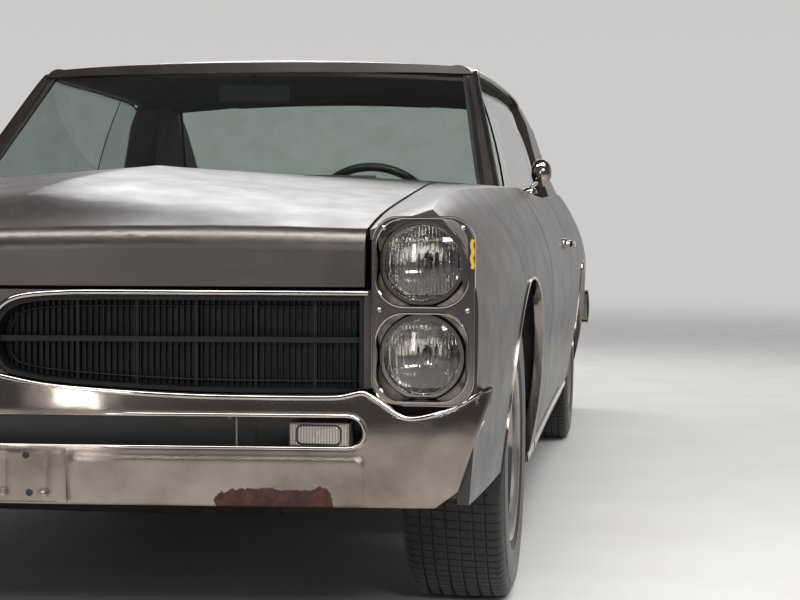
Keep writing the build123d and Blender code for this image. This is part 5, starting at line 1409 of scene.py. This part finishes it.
def wheel_centre():
    """Horn ring and centre cap of the steering wheel."""
    ring, cap = Shape(), Shape()
    centre = Vector((0.470, 0.370, 0.860))
    facing = Vector((-0.883, 0, 0.469))
    ring.turned([(0.118 + 0.0035 * math.cos(a), 0.022 + 0.0035 * math.sin(a))
                 for a in [2 * math.pi * i / 10 for i in range(10)]], centre, facing, 72)
    for angle in (90, 210, 330):
        across = Vector((0, 1, 0))
        up = facing.cross(across)
        ray = across * math.cos(math.radians(angle)) + up * math.sin(math.radians(angle))
        ring.swept([centre + facing * 0.020 + ray * 0.036, centre + facing * 0.022 + ray * 0.117],
                   round_section(0.003, 8), facing)
    cap.turned([(0.0, 0.012), (0.046, 0.012), (0.045, 0.022), (0.036, 0.032), (0.0, 0.037)], centre,
               facing, 40, False)
    ring.build("horn_ring", TRIM_PLATE, "car_body", "chrome")
    cap.build("horn_cap", MOULDED_PLASTIC, "car_body", "dark_plastic")


CARD_PLEATS, CARD_PLEAT_PITCH = (0.42, 0.74), 0.040


def door_card(side, sign):
    """Inside of one door: pleated vinyl panel, moulded armrest, window crank and pull."""
    name = "door_" + side
    panel, rest, metal = Shape(), Shape(), Shape()
    columns, rows = 150, 30
    points = []
    for i in range(columns):
        x = -0.245 + 1.185 * i / (columns - 1)
        for j in range(rows):
            z = 0.345 + 0.535 * j / (rows - 1)
            edge = min(x + 0.245, 0.940 - x, z - 0.345, 0.880 - z)
            pleat = 0.0012
            if CARD_PLEATS[0] < z < CARD_PLEATS[1]:
                pleat = 0.0028 * abs(math.sin(math.pi * (x - 0.02) / CARD_PLEAT_PITCH))
            points.append((x, sign * (0.8005 - (0.0018 + pleat) * eased(edge / 0.012)), z))
    faces = grid_faces(columns, rows)
    if sign > 0:
        faces = [tuple(reversed(f)) for f in faces]
    panel.take(points, faces)
    back = [(x, sign * 0.8035, z) for x, _, z in points]
    panel.take(back, [tuple(reversed(f)) for f in faces])
    panel.build("door_card_" + side, SEAT_VINYL, name, "vinyl", sharp=math.radians(50))
    path = smooth_path([(-0.060, sign * 0.772, 0.612), (0.050, sign * 0.762, 0.616),
                        (0.200, sign * 0.764, 0.622), (0.335, sign * 0.778, 0.640)], 8)
    rest.swept(path, oval_section(0.026, 0.036, 16), (0, -sign, 0))
    rest.build("door_armrest_" + side, SEAT_VINYL, name, "vinyl")
    inward = Vector((0, -sign, 0))
    for x, z, length, turn in ((0.520, 0.620, 0.110, 205), (0.640, 0.760, 0.075, 180)):
        hub = Vector((x, sign * 0.7975, z))
        metal.turned([(0.0, 0.0), (0.024, 0.0), (0.022, 0.008), (0.011, 0.016), (0.0, 0.018)], hub,
                     inward, 28, False)
        ray = Vector((math.cos(math.radians(turn)), 0, math.sin(math.radians(turn))))
        metal.swept([hub + inward * 0.013, hub + inward * 0.022 + ray * length * 0.5,
                     hub + inward * 0.026 + ray * length], flat_section(0.006, -0.002, 0.002),
                    inward)
        metal.turned([(0.0, 0.0), (0.0105, 0.0), (0.012, 0.012), (0.010, 0.020), (0.0, 0.022)],
                     hub + inward * 0.026 + ray * length, inward, 20, False)
    metal.build("door_cranks_" + side, TRIM_PLATE, name, "chrome")


# Engine bay

def engine_dress():
    """Valve covers, air cleaner, moulded coolant pipes and fan on the engine."""
    covers, cleaner, pipes, fan = Shape(), Shape(), Shape(), Shape()
    for y in (0.185, -0.185):
        path = [Vector((1.300 + 0.600 * i / 24, y, 0.789)) for i in range(25)]
        section = [(-0.068, 0.0), (-0.066, 0.030), (-0.052, 0.046), (0.052, 0.046), (0.066, 0.030),
                   (0.068, 0.0)]
        covers.swept(path, section, (0, 0, 1))
        for i in range(7):
            x = 1.345 + 0.085 * i
            covers.block((x - 0.004, y - 0.050, 0.833), (x + 0.004, y + 0.050, 0.8385))
        covers.turned([(0.0, 0.0), (0.022, 0.0), (0.022, 0.012), (0.018, 0.016), (0.0, 0.016)],
                      (1.335, y, 0.838), (0, 0, 1), 24, False)
    soften(covers.build("valve_covers", TRIM_PLATE, "car_body", "chrome"), 0.002)
    cleaner.turned([(0.0, 0.0), (0.070, 0.0), (0.072, 0.012), (0.165, 0.016), (0.172, 0.022),
                    (0.172, 0.030), (0.160, 0.033), (0.160, 0.060), (0.172, 0.063), (0.172, 0.070),
                    (0.150, 0.076), (0.060, 0.080), (0.0, 0.081)], (1.590, 0, 0.789), (0, 0, 1), 64,
                   False)
    cleaner.turned([(0.0, 0.0), (0.009, 0.0), (0.008, 0.010), (0.0, 0.012)], (1.590, 0, 0.869),
                   (0, 0, 1), 16, False)
    cleaner.build("air_cleaner", GRILLE_ENAMEL, "car_body", "grille_black")
    for course in (((1.945, 0.060, 0.775), (2.010, 0.075, 0.800), (2.090, 0.150, 0.790),
                    (2.188, 0.190, 0.745)),
                   ((1.950, -0.120, 0.440), (2.030, -0.160, 0.430), (2.110, -0.200, 0.470),
                    (2.188, -0.210, 0.480))):
        pipes.swept(smooth_path(course, 8), round_section(0.021, 14), (0, 0, 1))
    pipes.build("coolant_pipes", RUBBER_SEAL, "car_body", "grille_black")
    hub = Vector((2.070, 0, 0.600))
    for i in range(5):
        angle = 2 * math.pi * i / 5
        ray = Vector((0, math.sin(angle), math.cos(angle)))
        twist = Matrix.Rotation(math.radians(28), 3, ray)
        fan.swept([hub + ray * 0.045, hub + ray * 0.120, hub + ray * 0.205],
                  flat_section(0.038, -0.001, 0.001), twist @ Vector((1, 0, 0)))
    fan.turned([(0.0, -0.115), (0.022, -0.115), (0.022, -0.012), (0.050, -0.010), (0.050, 0.008),
                (0.020, 0.012), (0.0, 0.012)], hub, (1, 0, 0), 32, False)
    fan.build("cooling_fan", GRILLE_ENAMEL, "car_body", "grille_black")


peaked_hood()
bezel_beads()
masking_tape()
window_trim()
drip_mouldings()
for door_side, door_sign in (("left", 1), ("right", -1)):
    belt_and_handle(door_side, door_sign)
    door_card(door_side, door_sign)
sill_mouldings()
parking_lamp_faces()
slot_stays()
washer_jets()
door_mirror()
tail_trim()
instruments()
dash_pad()
wheel_centre()
engine_dress()


# Studio

FLOOR_HALF = 40                      # the floor reaches this far, in metres
FLOOR_FADE = (5.5, 17.0)             # it is solid up to here and gone from there
SKY_RISE = (0.10, 0.70)              # upward part of a ray: backdrop, ceiling
SKY_AHEAD = (-0.80, 0.05)            # forward part of a ray: pale behind the car, dim ahead


def pale_floor():
    """Matt painted studio floor that melts into the backdrop far out."""
    material, tree, surface, place = finish("pale_floor", Roughness=0.6)
    weathered(tree, surface, cloud(tree, place, 333.3, 5.0), "#d3d0cc", "#d9d7d4")
    far = add(tree, "ShaderNodeVectorMath", {0: place}, "Value", operation="LENGTH")
    fade = add(tree, "ShaderNodeMapRange",
               {"Value": far, "From Min": FLOOR_FADE[0], "From Max": FLOOR_FADE[1], "To Min": 1.0,
                "To Max": 0.0}, interpolation_type="SMOOTHERSTEP")
    feed(tree, surface, Alpha=fade)
    return material


def hang(name, light, place, way):
    """Hangs a lamp at a place, looking one way."""
    holder = new_object(name, light)
    holder.location = place
    holder.rotation_euler = Vector(way).to_track_quat("-Z", "Y").to_euler()


def strip_light(name, place, aim, size, energy):
    """A long soft lamp that looks from its place at its aim."""
    light = bpy.data.lights.new(name, "AREA")
    light.shape = "RECTANGLE"
    light.size, light.size_y = size
    light.energy = energy
    hang(name, light, place, Vector(aim) - Vector(place))


def studio():
    """Pale floor and backdrop under a dimmer ceiling, with a soft key, two overhead strips and two
    tubes in front."""
    floor_mesh = bpy.data.meshes.new("studio_floor")
    floor_mesh.from_pydata([(FLOOR_HALF * x, FLOOR_HALF * y, 0)
                            for x, y in ((-1, -1), (1, -1), (1, 1), (-1, 1))], [], [(0, 1, 2, 3)])
    floor = new_object("studio_floor", floor_mesh)
    floor.data.materials.append(pale_floor())
    world = bpy.data.worlds.new("studio_world")
    bpy.context.scene.world = world
    world.use_nodes = True
    tree = world.node_tree
    background = tree.nodes["Background"]
    ray = add(tree, "ShaderNodeTexCoord", out="Generated")
    height, forward = [add(tree, "ShaderNodeSeparateXYZ", {0: ray}, axis) for axis in "ZX"]
    rise, ahead = [
        add(tree, "ShaderNodeMapRange", {"Value": part, "From Min": low, "From Max": high},
            interpolation_type="SMOOTHSTEP")
        for part, (low, high) in ((height, SKY_RISE), (forward, SKY_AHEAD))]
    backdrop = layer(tree, "#dcdad8", ahead, "#7b7a7e")
    tree.links.new(layer(tree, backdrop, rise, "#515257"), background.inputs["Color"])
    background.inputs["Strength"].default_value = 0.85
    sun = bpy.data.lights.new("soft_key", "SUN")
    sun.energy = 1.7
    sun.angle = math.radians(38)
    hang("soft_key", sun, (0, 0, 0), (-0.55, -0.42, -1.0))
    strip_light("nose_strip", (3.1, 0.2, 3.6), (2.5, 0.2, 0.8), (5.0, 0.9), 190)
    strip_light("tail_strip", (-4.6, 0.0, 3.6), (-2.4, 0.0, 0.8), (5.0, 0.9), 110)
    strip_light("front_tube", (7.2, 2.6, 2.6), (2.4, 0.7, 0.7), (1.8, 0.35), 70)
    strip_light("low_tube", (7.6, -0.6, 1.5), (2.4, 0.4, 0.7), (0.35, 1.5), 22)


def photograph_camera():
    """Camera in front of the left headlamps, at lamp height, with a short telephoto lens."""
    data = bpy.data.cameras.new("photograph_camera")
    data.sensor_width = 36.0
    data.lens = 72.3
    data.clip_end = 200
    camera = new_object("photograph_camera", data)
    yaw, pitch, roll = math.radians(8.51), math.radians(2.41), math.radians(0.3)
    forward = Vector((-math.cos(yaw) * math.cos(pitch), -math.sin(yaw) * math.cos(pitch),
                      -math.sin(pitch)))
    camera.location = (5.376, 1.182, 0.837)
    aim = forward.to_track_quat("-Z", "Y").to_matrix().to_4x4()
    camera.rotation_euler = (aim @ Matrix.Rotation(roll, 4, "Z")).to_euler()
    bpy.context.scene.camera = camera


studio()
photograph_camera()
bpy.context.scene.view_settings.view_transform = "Standard"
